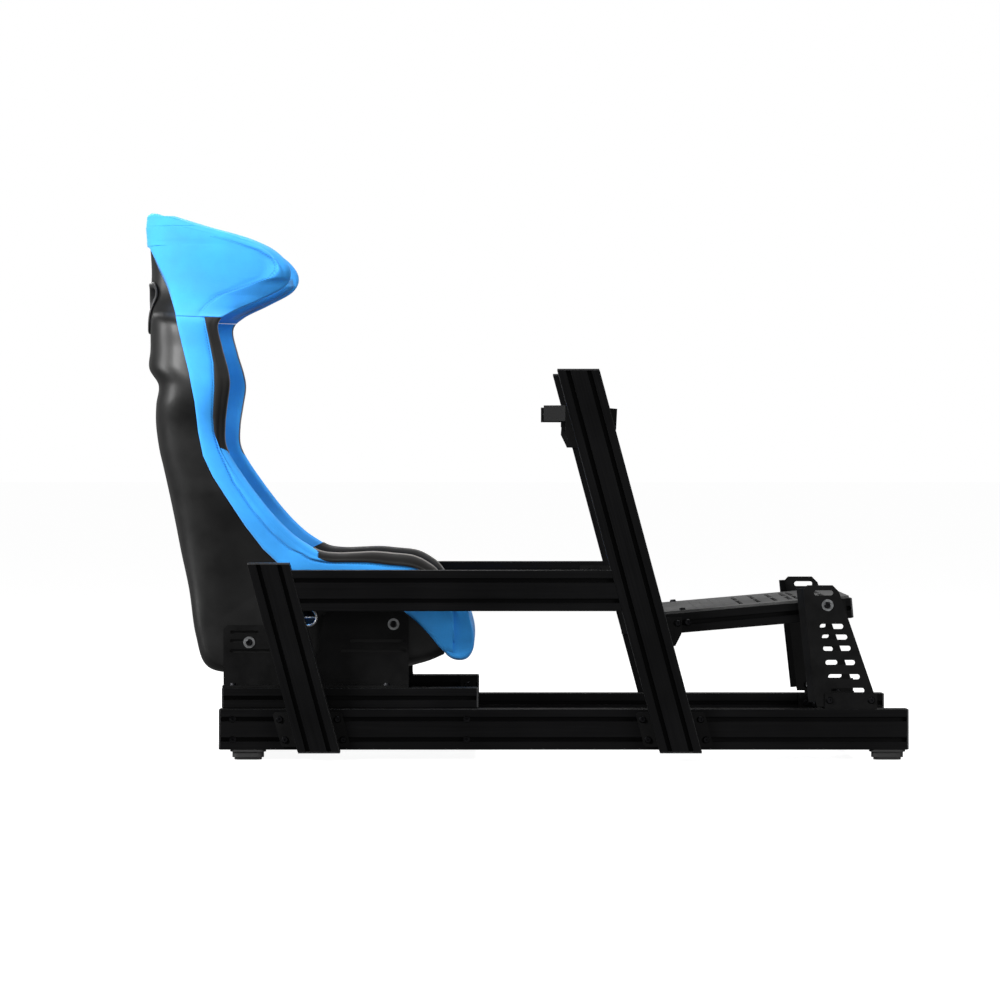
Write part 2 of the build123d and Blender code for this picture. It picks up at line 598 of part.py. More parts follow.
# ---- seat brackets -----------------------------------------------------------------------------------
BRACKET_OUTER = BRACKET_INNER + BRACKET_SHEET
FOOT_LOW = SEAT_RAIL_TOP + SLIDE_GAP
BRACKET_OUTLINE = [(BRACKET_REAR, FOOT_LOW), (BRACKET_REAR, 254), (-580, 262), (-508, 262), (-492, 246),
                   (-470, 206), (-452, 196), (-412, 196), (-399, 208), (-392, 278), (-382, 288), (-232, 288),
                   (BRACKET_FRONT, 277), (BRACKET_FRONT, FOOT_LOW)]
BRACKET_GROOVES = [(-547, 248, 56), (-560, 231, 30), (-535, 211, 80), (-283, 231, 108), (-291, 211, 128)]
GROOVE_WIDTH = 6.5
for side, hand in SIDES:
    with BuildPart() as seat_bracket:
        side_sheet(BRACKET_OUTLINE, BRACKET_INNER, BRACKET_OUTER, side)
        with Locations(((BRACKET_REAR + BRACKET_FRONT) / 2, side * (BRACKET_OUTER + 258) / 2, FOOT_LOW)):
            Box(BRACKET_FRONT - BRACKET_REAR, 258 - BRACKET_OUTER, BRACKET_SHEET, align=BASE)
        for x, z, length in BRACKET_GROOVES:
            side_slot((x, z), length, GROOVE_WIDTH, BRACKET_INNER, BRACKET_OUTER, side)
        holes([(x, side * BRACKET_OUTER, z) for x, z in SEAT_BOLTS], (0, side, 0), BRACKET_SHEET)
        foot_spots = [(x, side * SEAT_RAIL_MIDDLE, FOOT_LOW + BRACKET_SHEET) for x in BRACKET_FOOT_BOLTS]
        holes(foot_spots, (0, 0, 1), BRACKET_SHEET)
    save(seat_bracket, f"seat_bracket_{hand}")

with BuildPart() as seat_bolts:
    for side, hand in SIDES:
        for x, z in SEAT_BOLTS:
            fastener((x, side * (BRACKET_OUTER + WASHER[1]), z), (0, side, 0), 22)
        for x in BRACKET_FOOT_BOLTS:
            fastener((x, side * SEAT_RAIL_MIDDLE, FOOT_LOW + BRACKET_SHEET), (0, 0, 1), 13.5)
save(seat_bolts, "seat_bolts")

with BuildPart() as seat_side_washers:
    for side, hand in SIDES:
        for x, z in SEAT_BOLTS:
            with Locations(Plane(origin=(x, side * BRACKET_OUTER, z), z_dir=(0, side, 0))):
                Cylinder(*WASHER, align=BASE)
                Cylinder(BOLT_HOLE, WASHER[1], align=BASE, mode=Mode.SUBTRACT)
save(seat_side_washers, "seat_side_washers")

with BuildPart() as seat_side_nuts:
    for side, hand in SIDES:
        for x, z in SEAT_BOLTS:
            hex_nut((x, side * (WALL - SHELL), z), (0, -side, 0))
save(seat_side_nuts, "seat_side_nuts")

with BuildPart() as seat_spacers:
    for side, hand in SIDES:
        for x, z in SEAT_BOLTS:
            with Locations(Plane(origin=(x, side * WALL, z), z_dir=(0, side, 0))):
                Cylinder(12, BRACKET_INNER - WALL, align=BASE)
                Cylinder(BOLT_HOLE, 5, align=BASE, mode=Mode.SUBTRACT)
save(seat_spacers, "seat_spacers")

with BuildPart() as seat_slide_t_nuts:
    for side, hand in SIDES:
        for x in BRACKET_FOOT_BOLTS:
            t_nut((x, side * SEAT_RAIL_MIDDLE, SEAT_RAIL_TOP), (0, 0, 1), (1, 0, 0))
save(seat_slide_t_nuts, "seat_slide_t_nuts")

# ---- pedal deck --------------------------------------------------------------------------------------
DECK_MIDDLE = DECK_OUTER - MODULE / 2
for side, hand in SIDES:
    with BuildPart() as pedal_deck_rail:
        with BuildSketch(Plane(on_deck(DECK_REACH[0], 0, side * DECK_MIDDLE), x_dir=DECK_UP, z_dir=DECK_AXIS)):
            add(SINGLE)
        extrude(amount=DECK_REACH[1] - DECK_REACH[0])
    save(pedal_deck_rail, f"pedal_deck_rail_{hand}")

with BuildPart() as single_end_caps:
    for side, hand in SIDES:
        ends = [Plane((x, side * SEAT_RAIL_MIDDLE, RAIL_TOP + MODULE / 2), (0, 0, 1), (forward, 0, 0))
                for x, forward in ((SEAT_RAIL_REAR, -1), (SEAT_RAIL_REAR + SEAT_RAIL_LENGTH, 1))]
        ends += [Plane(on_deck(along, 0, side * DECK_MIDDLE), x_dir=DECK_UP, z_dir=DECK_AXIS * way)
                 for along, way in zip(DECK_REACH, (-1, 1))]
        for end in ends:
            with BuildSketch(end) as outline:
                RectangleRounded(MODULE - 0.6, MODULE - 0.6, 2)
            extrude(outline.sketch, amount=CAP, taper=12)
save(single_end_caps, "single_end_caps")

# Two cross bars tie the deck rails together; their ends sit on the rails' inner slots.
DECK_BARS = (6.0, 290.0)
BAR_HALF = DECK_OUTER - MODULE
with BuildPart() as pedal_cross_bars:
    for along in DECK_BARS:
        with BuildSketch(Plane(on_deck(along, 0, -BAR_HALF), x_dir=DECK_UP, z_dir=(0, 1, 0))):
            add(SINGLE)
        extrude(amount=2 * BAR_HALF)
save(pedal_cross_bars, "pedal_cross_bars")

REAR_BRACKET_BOLTS = (2.0, 22.0)
HANGER_BOLTS = (270.0, 322.0)
UPRIGHT_BOLTS = (226.0, 254.0)
HANGER_OUTLINE = [on_deck(along, up, 0)
                  for along, up in ((256, -17), (336, -17), (336, 17), (312, 26), (272, 26), (256, 17))]
with BuildPart() as pedal_deck_brackets:
    for side, hand in SIDES:
        side_sheet([(262, 222), (306, 222), (318, 246), (320, 279), (262, 279)], DECK_OUTER, DECK_OUTER + 4, side)
        side_sheet([(258, 222), (262, 222), (262, 279), (258, 279)], DECK_OUTER, UPRIGHT_INNER, side)
        side_sheet([(216, 222), (258, 222), (258, 279), (208, 279)], UPRIGHT_INNER - 4, UPRIGHT_INNER, side)
        side_sheet([(spot.X, spot.Z) for spot in HANGER_OUTLINE], DECK_OUTER, DECK_OUTER + 4, side)
        spots = [on_deck(along, 0, side * (DECK_OUTER + 4)) for along in (*REAR_BRACKET_BOLTS, *HANGER_BOLTS)]
        spots.append((SIDE_PLATE_BOLT[0], side * (DECK_OUTER + 4), SIDE_PLATE_BOLT[1]))
        holes(spots, (0, side, 0), 4)
        spots = [on_upright(FRONT_UPRIGHT_FOOT, side, along, -20, UPRIGHT_INNER - 4) for along in UPRIGHT_BOLTS]
        holes(spots, (0, -side, 0), 4)
save(pedal_deck_brackets, "pedal_deck_brackets")

# The side plates stand on the base rails and carry the front of the deck through spacers and hangers.
FOOT_ANGLE_BOLTS = (608.0, 690.0)
FOOT_RAIL_BOLTS = (630.0, 668.0)
HEIGHT_SLOTS = [(612, 262, 46), (618, 241, 50), (622.5, 219, 54), (629, 191, 58), (636.5, 163, 62)]
for side, hand in SIDES:
    with BuildPart() as pedal_side_plate:
        outline = [(557, 335), (564, 343), (614, 343), (626, 331), (700, 118), (700, 104.2), (583, 104.2)]
        side_sheet([*outline, (578, 130)], SIDE_PLATE_INNER, SIDE_PLATE_OUTER, side)
        side_slot((596, 328), 38, 10, SIDE_PLATE_INNER, SIDE_PLATE_OUTER, side)
        for x, z, length in HEIGHT_SLOTS:
            side_slot((x, z), length, 10, SIDE_PLATE_INNER, SIDE_PLATE_OUTER, side)
        side_slot((643.5, 136), 66, 10, SIDE_PLATE_INNER, SIDE_PLATE_OUTER, side)
        holes([(SIDE_PLATE_BOLT[0], side * SIDE_PLATE_OUTER, SIDE_PLATE_BOLT[1])], (0, side, 0), 4)
        holes([(x, side * SIDE_PLATE_OUTER, 117) for x in FOOT_ANGLE_BOLTS], (0, side, 0), 4)
        # The rear edge is folded inwards as a stiffening flange.
        with BuildSketch(Plane.XY.offset(112)) as low:
            with BuildLine():
                Polyline((582, side * 278.2), (582, side * 282), (568, side * 262), (571, side * 260), close=True)
            make_face()
        with BuildSketch(Plane.XY.offset(336)) as high:
            with BuildLine():
                Polyline((558, side * 278.2), (558, side * 282), (544, side * 262), (547, side * 260), close=True)
            make_face()
        loft([low.sketch.faces()[0], high.sketch.faces()[0]], ruled=True)
    save(pedal_side_plate, f"pedal_side_plate_{hand}")

with BuildPart() as pedal_foot_angles:
    for side, hand in SIDES:
        side_sheet([(599, 100), (701, 100), (701, 130), (599, 130)], SIDE_PLATE_OUTER, 286, side)
        side_sheet([(599, 100), (701, 100), (701, 104), (599, 104)], 254, SIDE_PLATE_OUTER, side)
        holes([(x, side * 286, 117) for x in FOOT_ANGLE_BOLTS], (0, side, 0), 4)
        holes([(x, side * RAIL_MIDDLE, 104) for x in FOOT_RAIL_BOLTS], (0, 0, 1), 4)
save(pedal_foot_angles, "pedal_foot_angles")

with BuildPart() as pedal_deck_bolts:
    for side, hand in SIDES:
        for along in (*REAR_BRACKET_BOLTS, *HANGER_BOLTS):
            fastener(on_deck(along, 0, side * (DECK_OUTER + 4)), (0, side, 0), 13.5)
        for along in UPRIGHT_BOLTS:
            fastener(on_upright(FRONT_UPRIGHT_FOOT, side, along, -20, UPRIGHT_INNER - 4), (0, -side, 0), 13.5)
        for x in FOOT_ANGLE_BOLTS:
            fastener((x, side * 286, 117), (0, side, 0), 16)
        for x in FOOT_RAIL_BOLTS:
            fastener((x, side * RAIL_MIDDLE, 104), (0, 0, 1), 13.5)
        fastener((SIDE_PLATE_BOLT[0], side * (SIDE_PLATE_OUTER + WASHER[1]), SIDE_PLATE_BOLT[1]), (0, side, 0), 37)
save(pedal_deck_bolts, "pedal_deck_bolts")

with BuildPart() as pedal_foot_nuts:
    for side, hand in SIDES:
        for x in FOOT_ANGLE_BOLTS:
            hex_nut((x, side * SIDE_PLATE_INNER, 117), (0, -side, 0))
save(pedal_foot_nuts, "pedal_foot_nuts")

with BuildPart() as pedal_spacers:
    for side, hand in SIDES:
        bolt = Plane(origin=(SIDE_PLATE_BOLT[0], side * (DECK_OUTER + 4), SIDE_PLATE_BOLT[1]), z_dir=(0, side, 0))
        with Locations(bolt):
            Cylinder(9, SIDE_PLATE_INNER - DECK_OUTER - 4, align=BASE)
            Cylinder(BOLT_HOLE, SIDE_PLATE_INNER - DECK_OUTER - 4, align=BASE, mode=Mode.SUBTRACT)
save(pedal_spacers, "pedal_spacers")

with BuildPart() as pedal_side_washers:
    for side, hand in SIDES:
        bolt = Plane(origin=(SIDE_PLATE_BOLT[0], side * SIDE_PLATE_OUTER, SIDE_PLATE_BOLT[1]), z_dir=(0, side, 0))
        with Locations(bolt):
            Cylinder(*WASHER, align=BASE)
            Cylinder(BOLT_HOLE, WASHER[1], align=BASE, mode=Mode.SUBTRACT)
save(pedal_side_washers, "pedal_side_washers")

# The pedal plate slides on the deck rails; five long slots and two groups of small holes take pedal sets.
DECK_PLATE_HALF = 242.0
DECK_PLATE_REACH = (-22.0, 344.0)
DECK_PLATE_TOP = MODULE / 2 + SLIDE_GAP + DECK_SHEET
PEDAL_SLOTS = (134.0, 170.0, 204.0, 233.0, 248.0, 300.0)
PEDAL_PLATE_BOLTS = (14.0, 282.0)
with BuildPart() as pedal_plate:
    with BuildSketch(Plane(on_deck(0, DECK_PLATE_TOP, 0), x_dir=DECK_AXIS, z_dir=DECK_UP)):
        with Locations((sum(DECK_PLATE_REACH) / 2, 0)):
            RectangleRounded(DECK_PLATE_REACH[1] - DECK_PLATE_REACH[0], 2 * DECK_PLATE_HALF, 6)
        for along in PEDAL_SLOTS:
            with Locations((along, -95), (along, 95)):
                SlotOverall(160, 8.4, rotation=90, mode=Mode.SUBTRACT)
        for along in (52, 92):
            with Locations((along, 0)):
                with GridLocations(18, 60, 2, 7):
                    Circle(3.2, mode=Mode.SUBTRACT)
        with Locations(*[(along, side * DECK_MIDDLE) for along in PEDAL_PLATE_BOLTS for side, hand in SIDES]):
            Circle(BOLT_HOLE, mode=Mode.SUBTRACT)
    extrude(amount=-DECK_SHEET)
save(pedal_plate, "pedal_plate")

with BuildPart() as pedal_plate_bolts:
    for side, hand in SIDES:
        for along in PEDAL_PLATE_BOLTS:
            fastener(on_deck(along, DECK_PLATE_TOP, side * DECK_MIDDLE), DECK_UP, 13.5)
save(pedal_plate_bolts, "pedal_plate_bolts")

with BuildPart() as pedal_plate_t_nuts:
    for side, hand in SIDES:
        for along in PEDAL_PLATE_BOLTS:
            t_nut(on_deck(along, MODULE / 2, side * DECK_MIDDLE), DECK_UP, DECK_AXIS)
save(pedal_plate_t_nuts, "pedal_plate_t_nuts")

# ---- wheel mount -------------------------------------------------------------------------------------
# Two arms slide in the front uprights' inner slots. The wheel plate hangs between them and tilts about its pivots.
ARM_INNER = ARM_OUTER - ARM_SHEET
FLANGE_OUTER = ARM_INNER - 0.3
FLANGE_INNER = FLANGE_OUTER - 4.0
ARM_OUTLINE = [(92, 692), (88, 640), (101, 613), (178, 613), (188, 650), (190, 690), (120, 696)]
ARM_BOLTS = ((634.8, -20.0), (620.0, 20.0))
PIVOT_X, PIVOT_Z = MOUNT_PIVOT
STUD_X = PIVOT_X - MOUNT_CLAMP_ARM
for side, hand in SIDES:
    with BuildPart() as wheel_arm:
        side_sheet(ARM_OUTLINE, ARM_INNER, ARM_OUTER, side)
        spots = [on_upright(FRONT_UPRIGHT_FOOT, side, a, u, ARM_INNER) for a, u in ARM_BOLTS]
        holes(spots, (0, -side, 0), ARM_SHEET)
        for x in (PIVOT_X, STUD_X):
            countersunk_hole((x, side * ARM_OUTER, PIVOT_Z), (0, side, 0), ARM_SHEET)
    save(wheel_arm, f"wheel_arm_{hand}")

with BuildPart() as wheel_arm_bolts:
    for side, hand in SIDES:
        for a, u in ARM_BOLTS:
            fastener(on_upright(FRONT_UPRIGHT_FOOT, side, a, u, ARM_INNER), (0, -side, 0), 14.5)
save(wheel_arm_bolts, "wheel_arm_bolts")

with BuildPart() as wheel_arm_t_nuts:
    for side, hand in SIDES:
        for a, u in ARM_BOLTS:
            t_nut(on_upright(FRONT_UPRIGHT_FOOT, side, a, u), (0, -side, 0), LEAN_AXIS)
save(wheel_arm_t_nuts, "wheel_arm_t_nuts")

with BuildPart() as wheel_tilt_studs:
    for side, hand in SIDES:
        for x in (PIVOT_X, STUD_X):
            countersunk((x, side * ARM_OUTER, PIVOT_Z), (0, side, 0), 19)
save(wheel_tilt_studs, "wheel_tilt_studs")

with BuildPart() as wheel_tilt_nuts:
    for side, hand in SIDES:
        for x in (PIVOT_X, STUD_X):
            hex_nut((x, side * (FLANGE_INNER - 0.3), PIVOT_Z), (0, -side, 0))
save(wheel_tilt_nuts, "wheel_tilt_nuts")

WHEEL_HOLES = (112.0, 40.0, 66.0)  # middle of the wheel base's four screws in X, and their spacings in X and Y
with BuildPart() as wheel_plate:
    for side, hand in SIDES:
        side_sheet([(88, 656), (106, 643), (174, 643), (182, 688), (88, 697)], FLANGE_INNER, FLANGE_OUTER, side)
        # Each rear ear is folded inwards, as a stop for the back of the plate.
        with BuildSketch(Plane.XY.offset(666)) as ear:
            with BuildLine():
                Polyline((92, side * FLANGE_OUTER), (88, side * FLANGE_INNER), (48, side * 257), (46, side * 261),
                         close=True)
            make_face()
        extrude(ear.sketch, amount=31)
    with BuildSketch(Plane.XY.offset(MOUNT_PLATE_Z)):
        with BuildLine():
            half = FLANGE_INNER + 1
            Polyline((51, 254), (51, -254), (90, -half), (176, -half), (176, half), (90, half), close=True)
        make_face()
        with Locations((WHEEL_HOLES[0], 0)):
            with GridLocations(WHEEL_HOLES[1], WHEEL_HOLES[2], 2, 2):
                Circle(3.3, mode=Mode.SUBTRACT)
        with Locations((112, -150), (112, 150)):
            SlotOverall(90, 24, rotation=90, mode=Mode.SUBTRACT)
    extrude(amount=4)
    for side, hand in SIDES:
        with Locations(Plane(origin=(PIVOT_X, side * FLANGE_OUTER, PIVOT_Z), z_dir=(0, side, 0))):
            Cylinder(4.05, 4, align=TOP, mode=Mode.SUBTRACT)
        with BuildSketch(Plane.XZ.offset(-side * (FLANGE_INNER - 1))) as slot:
            for turn in (-1, -0.5, 0, 0.5, 1):
                angle = radians(180 + turn * MOUNT_TILT)
                with Locations((PIVOT_X + MOUNT_CLAMP_ARM * cos(angle), PIVOT_Z + MOUNT_CLAMP_ARM * sin(angle))):
                    Circle(4.5)
            with Locations((STUD_X, PIVOT_Z)):
                Rectangle(8.6, 2 * MOUNT_CLAMP_ARM * sin(radians(MOUNT_TILT)))
        extrude(slot.sketch, amount=-side * 6, mode=Mode.SUBTRACT)
save(wheel_plate, "wheel_plate")
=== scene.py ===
"""Looks of the sim-racing cockpit: upholstery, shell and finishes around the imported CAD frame. Metres."""

from math import atan, cos, pi, radians, sin, tan

import bpy
import bmesh
import numpy as np
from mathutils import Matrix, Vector, kdtree
from mathutils.bvhtree import BVHTree


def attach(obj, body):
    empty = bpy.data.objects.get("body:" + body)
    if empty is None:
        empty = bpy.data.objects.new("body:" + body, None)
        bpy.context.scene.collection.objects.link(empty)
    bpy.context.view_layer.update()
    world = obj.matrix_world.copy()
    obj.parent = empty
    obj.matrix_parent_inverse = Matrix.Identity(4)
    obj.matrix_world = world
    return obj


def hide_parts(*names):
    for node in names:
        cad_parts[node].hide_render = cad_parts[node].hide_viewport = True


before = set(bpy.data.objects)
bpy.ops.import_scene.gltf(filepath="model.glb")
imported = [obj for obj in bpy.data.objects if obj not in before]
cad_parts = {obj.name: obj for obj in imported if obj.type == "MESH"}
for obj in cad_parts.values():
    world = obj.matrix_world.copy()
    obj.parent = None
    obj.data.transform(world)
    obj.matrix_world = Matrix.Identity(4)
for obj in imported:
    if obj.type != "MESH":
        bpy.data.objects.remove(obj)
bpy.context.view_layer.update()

# ---- colours ----
SKY_BLUE = (0.040, 0.34, 0.90)
PAD_BLACK = (0.008, 0.0075, 0.007)
# Grey of the cords along the black panels' crests: partly real piping, partly a painted highlight where light
# catches the crest.
PIPING_HIGHLIGHT_GREY = (0.20, 0.19, 0.18)
SHELL_BLACK = (0.006, 0.006, 0.006)
ANODISED_BLACK = (0.0020, 0.0020, 0.0022)
COATED_BLACK = (0.0030, 0.0030, 0.0031)
DECK_GREY = (0.062, 0.062, 0.062)
FLOOR_WHITE = (0.30, 0.30, 0.30)


# ---- node helpers ----
def new_material(name, base, roughness, metallic=0.0):
    """A material with its shader's plain values set, and its node tree and shader returned with it."""
    material = bpy.data.materials.new(name)
    material.use_nodes = True
    tree = material.node_tree
    shader = tree.nodes["Principled BSDF"]
    shader.inputs["Base Color"].default_value = (*base, 1)
    shader.inputs["Roughness"].default_value = roughness
    shader.inputs["Metallic"].default_value = metallic
    return material, tree, shader


def coordinates(tree, scale=(1, 1, 1), rotation=(0, 0, 0)):
    """Object coordinates, turned and then stretched."""
    source = tree.nodes.new("ShaderNodeTexCoord")
    turn = tree.nodes.new("ShaderNodeMapping")
    turn.inputs["Rotation"].default_value = rotation
    stretch = tree.nodes.new("ShaderNodeMapping")
    stretch.inputs["Scale"].default_value = scale
    tree.links.new(source.outputs["Object"], turn.inputs["Vector"])
    tree.links.new(turn.outputs["Vector"], stretch.inputs["Vector"])
    return stretch.outputs["Vector"]


def noise(tree, vector, scale, detail=3.0, roughness=0.55):
    node = tree.nodes.new("ShaderNodeTexNoise")
    node.inputs["Scale"].default_value = scale
    node.inputs["Detail"].default_value = detail
    node.inputs["Roughness"].default_value = roughness
    tree.links.new(vector, node.inputs["Vector"])
    return node.outputs["Fac"]


def ramp(tree, factor, low, high, start=0.0, end=1.0):
    """Colour from low to high as factor goes from start to end."""
    node = tree.nodes.new("ShaderNodeValToRGB")
    node.color_ramp.elements[0].position = start
    node.color_ramp.elements[0].color = (*low, 1)
    node.color_ramp.elements[1].position = end
    node.color_ramp.elements[1].color = (*high, 1)
    tree.links.new(factor, node.inputs["Fac"])
    return node.outputs["Color"]


def remap(tree, factor, low, high, start=0.0, end=1.0):
    """Number from low to high as factor goes from start to end."""
    node = tree.nodes.new("ShaderNodeMapRange")
    for name, value in (("From Min", start), ("From Max", end), ("To Min", low), ("To Max", high)):
        node.inputs[name].default_value = value
    tree.links.new(factor, node.inputs["Value"])
    return node.outputs["Result"]


def maths(tree, operation, first, second):
    node = tree.nodes.new("ShaderNodeMath")
    node.operation = operation
    for socket, value in zip(node.inputs, (first, second)):
        if isinstance(value, (int, float)):
            socket.default_value = value
        else:
            tree.links.new(value, socket)
    return node.outputs["Value"]


def bump(tree, shader, height, distance, strength=1.0, before=None):
    node = tree.nodes.new("ShaderNodeBump")
    node.inputs["Distance"].default_value = distance
    node.inputs["Strength"].default_value = strength
    tree.links.new(height, node.inputs["Height"])
    if before is not None:
        tree.links.new(before, node.inputs["Normal"])
    tree.links.new(node.outputs["Normal"], shader.inputs["Normal"])
    return node.outputs["Normal"]


def tinted(colour, factor):
    return tuple(min(1.0, channel * factor) for channel in colour)


def drift_colour(tree, shader, factor, colour, dark, light, start=0.3, end=0.7):
    """Base colour that drifts with factor between a dark and a light tint of one colour."""
    tones = ramp(tree, factor, tinted(colour, dark), tinted(colour, light), start, end)
    tree.links.new(tones, shader.inputs["Base Color"])


def drift_roughness(tree, shader, factor, low, high, end=0.7):
    tree.links.new(remap(tree, factor, low, high, 0.3, end), shader.inputs["Roughness"])


# ---- materials ----
def knit(name, colour, sheen, pitch=0.0011):
    """Tight knit cover: a fine rib of loops, slow colour drift, pilling and soft sheen."""
    material, tree, shader = new_material(name, colour, 0.78)
    place = coordinates(tree)
    drift = noise(tree, place, 9.0, 4.0)
    fuzz = noise(tree, place, 900.0, 2.0)
    mixed = maths(tree, "ADD", maths(tree, "MULTIPLY", drift, 0.7), maths(tree, "MULTIPLY", fuzz, 0.3))
    drift_colour(tree, shader, mixed, colour, 0.80, 1.18)
    drift_roughness(tree, shader, drift, 0.66, 0.86)
    shader.inputs["Sheen Weight"].default_value = sheen
    shader.inputs["Sheen Roughness"].default_value = 0.45
    shader.inputs["Specular IOR Level"].default_value = 0.25
    weave = None
    for turn in ((0, 0, radians(45)), (radians(45), 0, radians(-45))):
        wave = tree.nodes.new("ShaderNodeTexWave")
        wave.inputs["Scale"].default_value = 1.0 / pitch / 2 / pi
        wave.inputs["Distortion"].default_value = 0.6
        wave.inputs["Detail"].default_value = 1.0
        tree.links.new(coordinates(tree, rotation=turn), wave.inputs["Vector"])
        fine = wave.outputs["Fac"]
        weave = fine if weave is None else maths(tree, "MULTIPLY", weave, fine)
    soft = noise(tree, place, 38.0, 3.0)
    first = bump(tree, shader, soft, 0.0012, 0.5)
    bump(tree, shader, weave, 0.00022, 0.55, first)
    return material


def anodised(name, rotation):
    """Black anodised extrusion: fine die lines along one axis and a slight drift of tone."""
    material, tree, shader = new_material(name, ANODISED_BLACK, 0.36)
    shader.inputs["Specular IOR Level"].default_value = 0.13
    lines = noise(tree, coordinates(tree, (1.5, 260, 260), rotation), 3.0, 4.0, 0.7)
    drift = noise(tree, coordinates(tree), 7.0, 3.0)
    tone = maths(tree, "ADD", maths(tree, "MULTIPLY", lines, 0.6), maths(tree, "MULTIPLY", drift, 0.4))
    drift_colour(tree, shader, tone, ANODISED_BLACK, 0.6, 1.7)
    drift_roughness(tree, shader, tone, 0.30, 0.46)
    bump(tree, shader, lines, 0.00005, 0.35)
    return material


def powder_coat(name, colour, roughness=0.48):
    """Fine-textured powder coat with an orange-peel surface and scuffed tone."""
    material, tree, shader = new_material(name, colour, roughness)
    shader.inputs["Specular IOR Level"].default_value = 0.13
    place = coordinates(tree)
    grain = noise(tree, place, 1400.0, 2.0)
    scuff = noise(tree, place, 22.0, 5.0, 0.65)
    drift_colour(tree, shader, scuff, colour, 0.8, 1.3, 0.35)
    drift_roughness(tree, shader, scuff, roughness - 0.08, roughness + 0.12)
    bump(tree, shader, grain, 0.00008, 0.5)
    return material


def gel_coat(name):
    """Semi-gloss black gel coat over glass fibre: faint mat pattern under a smooth, slightly wavy skin."""
    material, tree, shader = new_material(name, SHELL_BLACK, 0.42)
    place = coordinates(tree)
    mat = tree.nodes.new("ShaderNodeTexVoronoi")
    mat.inputs["Scale"].default_value = 260.0
    tree.links.new(place, mat.inputs["Vector"])
    haze = noise(tree, place, 14.0, 5.0, 0.6)
    drift_colour(tree, shader, haze, SHELL_BLACK, 0.75, 1.35, end=0.72)
    drift_roughness(tree, shader, haze, 0.38, 0.52)
    first = bump(tree, shader, mat.outputs["Distance"], 0.00006, 0.35)
    bump(tree, shader, noise(tree, place, 30.0, 2.0), 0.0004, 0.2, first)
    shader.inputs["Specular IOR Level"].default_value = 0.30
    shader.inputs["Coat Weight"].default_value = 0.08
    shader.inputs["Coat Roughness"].default_value = 0.22
    return material


def plated(name, colour, roughness):
    """Plated steel with a fine grain and handling marks."""
    material, tree, shader = new_material(name, colour, roughness, 1.0)
    place = coordinates(tree)
    marks = noise(tree, place, 160.0, 5.0, 0.7)
    drift_colour(tree, shader, marks, colour, 0.75, 1.1, 0.35)
    drift_roughness(tree, shader, marks, roughness - 0.08, roughness + 0.16, 0.75)
    bump(tree, shader, noise(tree, place, 900.0, 2.0), 0.00003, 0.4)
    return material


def moulded(name, colour, roughness, grain_scale, depth):
    """Moulded rubber or plastic with a spark-eroded grain."""
    material, tree, shader = new_material(name, colour, roughness)
    place = coordinates(tree)
    grain = noise(tree, place, grain_scale, 3.0)
    dust = noise(tree, place, 30.0, 4.0, 0.65)
    drift_colour(tree, shader, dust, colour, 0.8, 1.5, 0.4, 0.75)
    drift_roughness(tree, shader, dust, roughness - 0.06, roughness + 0.1)
    bump(tree, shader, grain, depth, 0.5)
    return material


BLUE = knit("sky_blue_knit", SKY_BLUE, 0.12)
BLACK_KNIT = knit("black_knit", PAD_BLACK, 0.14)
# Piping cord whose grey is partly a painted highlight along the black panels' crests.
PIPING_HIGHLIGHT = knit("grey_piping_highlight", PIPING_HIGHLIGHT_GREY, 0.2, 0.0008)
BLUE_THREAD = knit("blue_thread", tinted(SKY_BLUE, 0.45), 0.1, 0.0003)
GREY_THREAD = knit("grey_thread", tinted(PIPING_HIGHLIGHT_GREY, 0.6), 0.1, 0.0003)
SHELL = gel_coat("shell_gel_coat")
ALONG_X = anodised("anodised_along_x", (0, 0, 0))
ALONG_Y = anodised("anodised_along_y", (0, 0, radians(-90)))
UPRIGHT = anodised("anodised_upright", (0, radians(105), 0))
DECK_BAR = anodised("anodised_deck", (0, radians(5), 0))
COATED = powder_coat("black_powder_coat", COATED_BLACK)
DECK = powder_coat("deck_grey_coat", DECK_GREY, 0.36)
OXIDE = plated("black_oxide", (0.022, 0.022, 0.024), 0.38)
ZINC = plated("bright_zinc", (0.42, 0.43, 0.44), 0.34)
PLASTIC = moulded("black_plastic", (0.012, 0.012, 0.013), 0.5, 700.0, 0.0001)
RUBBER = moulded("black_rubber", (0.014, 0.014, 0.014), 0.72, 420.0, 0.0003)


def both(*names):
    return [f"{name}_{hand}" for name in names for hand in ("left", "right")]


FINISHES = {
    ALONG_X: both("base_rail", "side_beam", "seat_rail"),
    ALONG_Y: ["cross_members", "pedal_cross_bars"],
    UPRIGHT: both("front_upright", "rear_upright"),
    DECK_BAR: both("pedal_deck_rail"),
    COATED: both("seat_bracket", "pedal_side_plate", "wheel_arm") + [
        "foot_plates", "beam_joint_plates", "frame_angles", "pedal_deck_brackets", "pedal_foot_angles",
        "wheel_plate"],
    DECK: ["pedal_plate"],
    OXIDE: ["frame_bolts", "cross_member_bolts", "upright_screws", "seat_bolts", "pedal_deck_bolts",
            "pedal_plate_bolts", "wheel_arm_bolts", "wheel_tilt_studs"],
    ZINC: ["frame_t_nuts", "seat_side_washers", "seat_side_nuts", "seat_spacers", "seat_slide_t_nuts",
           "pedal_foot_nuts", "pedal_spacers", "pedal_side_washers", "pedal_plate_t_nuts",
           "wheel_arm_t_nuts", "wheel_tilt_nuts"],
    PLASTIC: ["double_end_caps", "single_end_caps", "belt_slot_trims"],
    RUBBER: ["rubber_feet"],
}
for material, names in FINISHES.items():
    for name in names:
        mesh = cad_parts[name].data
        mesh.materials.clear()
        mesh.materials.append(material)

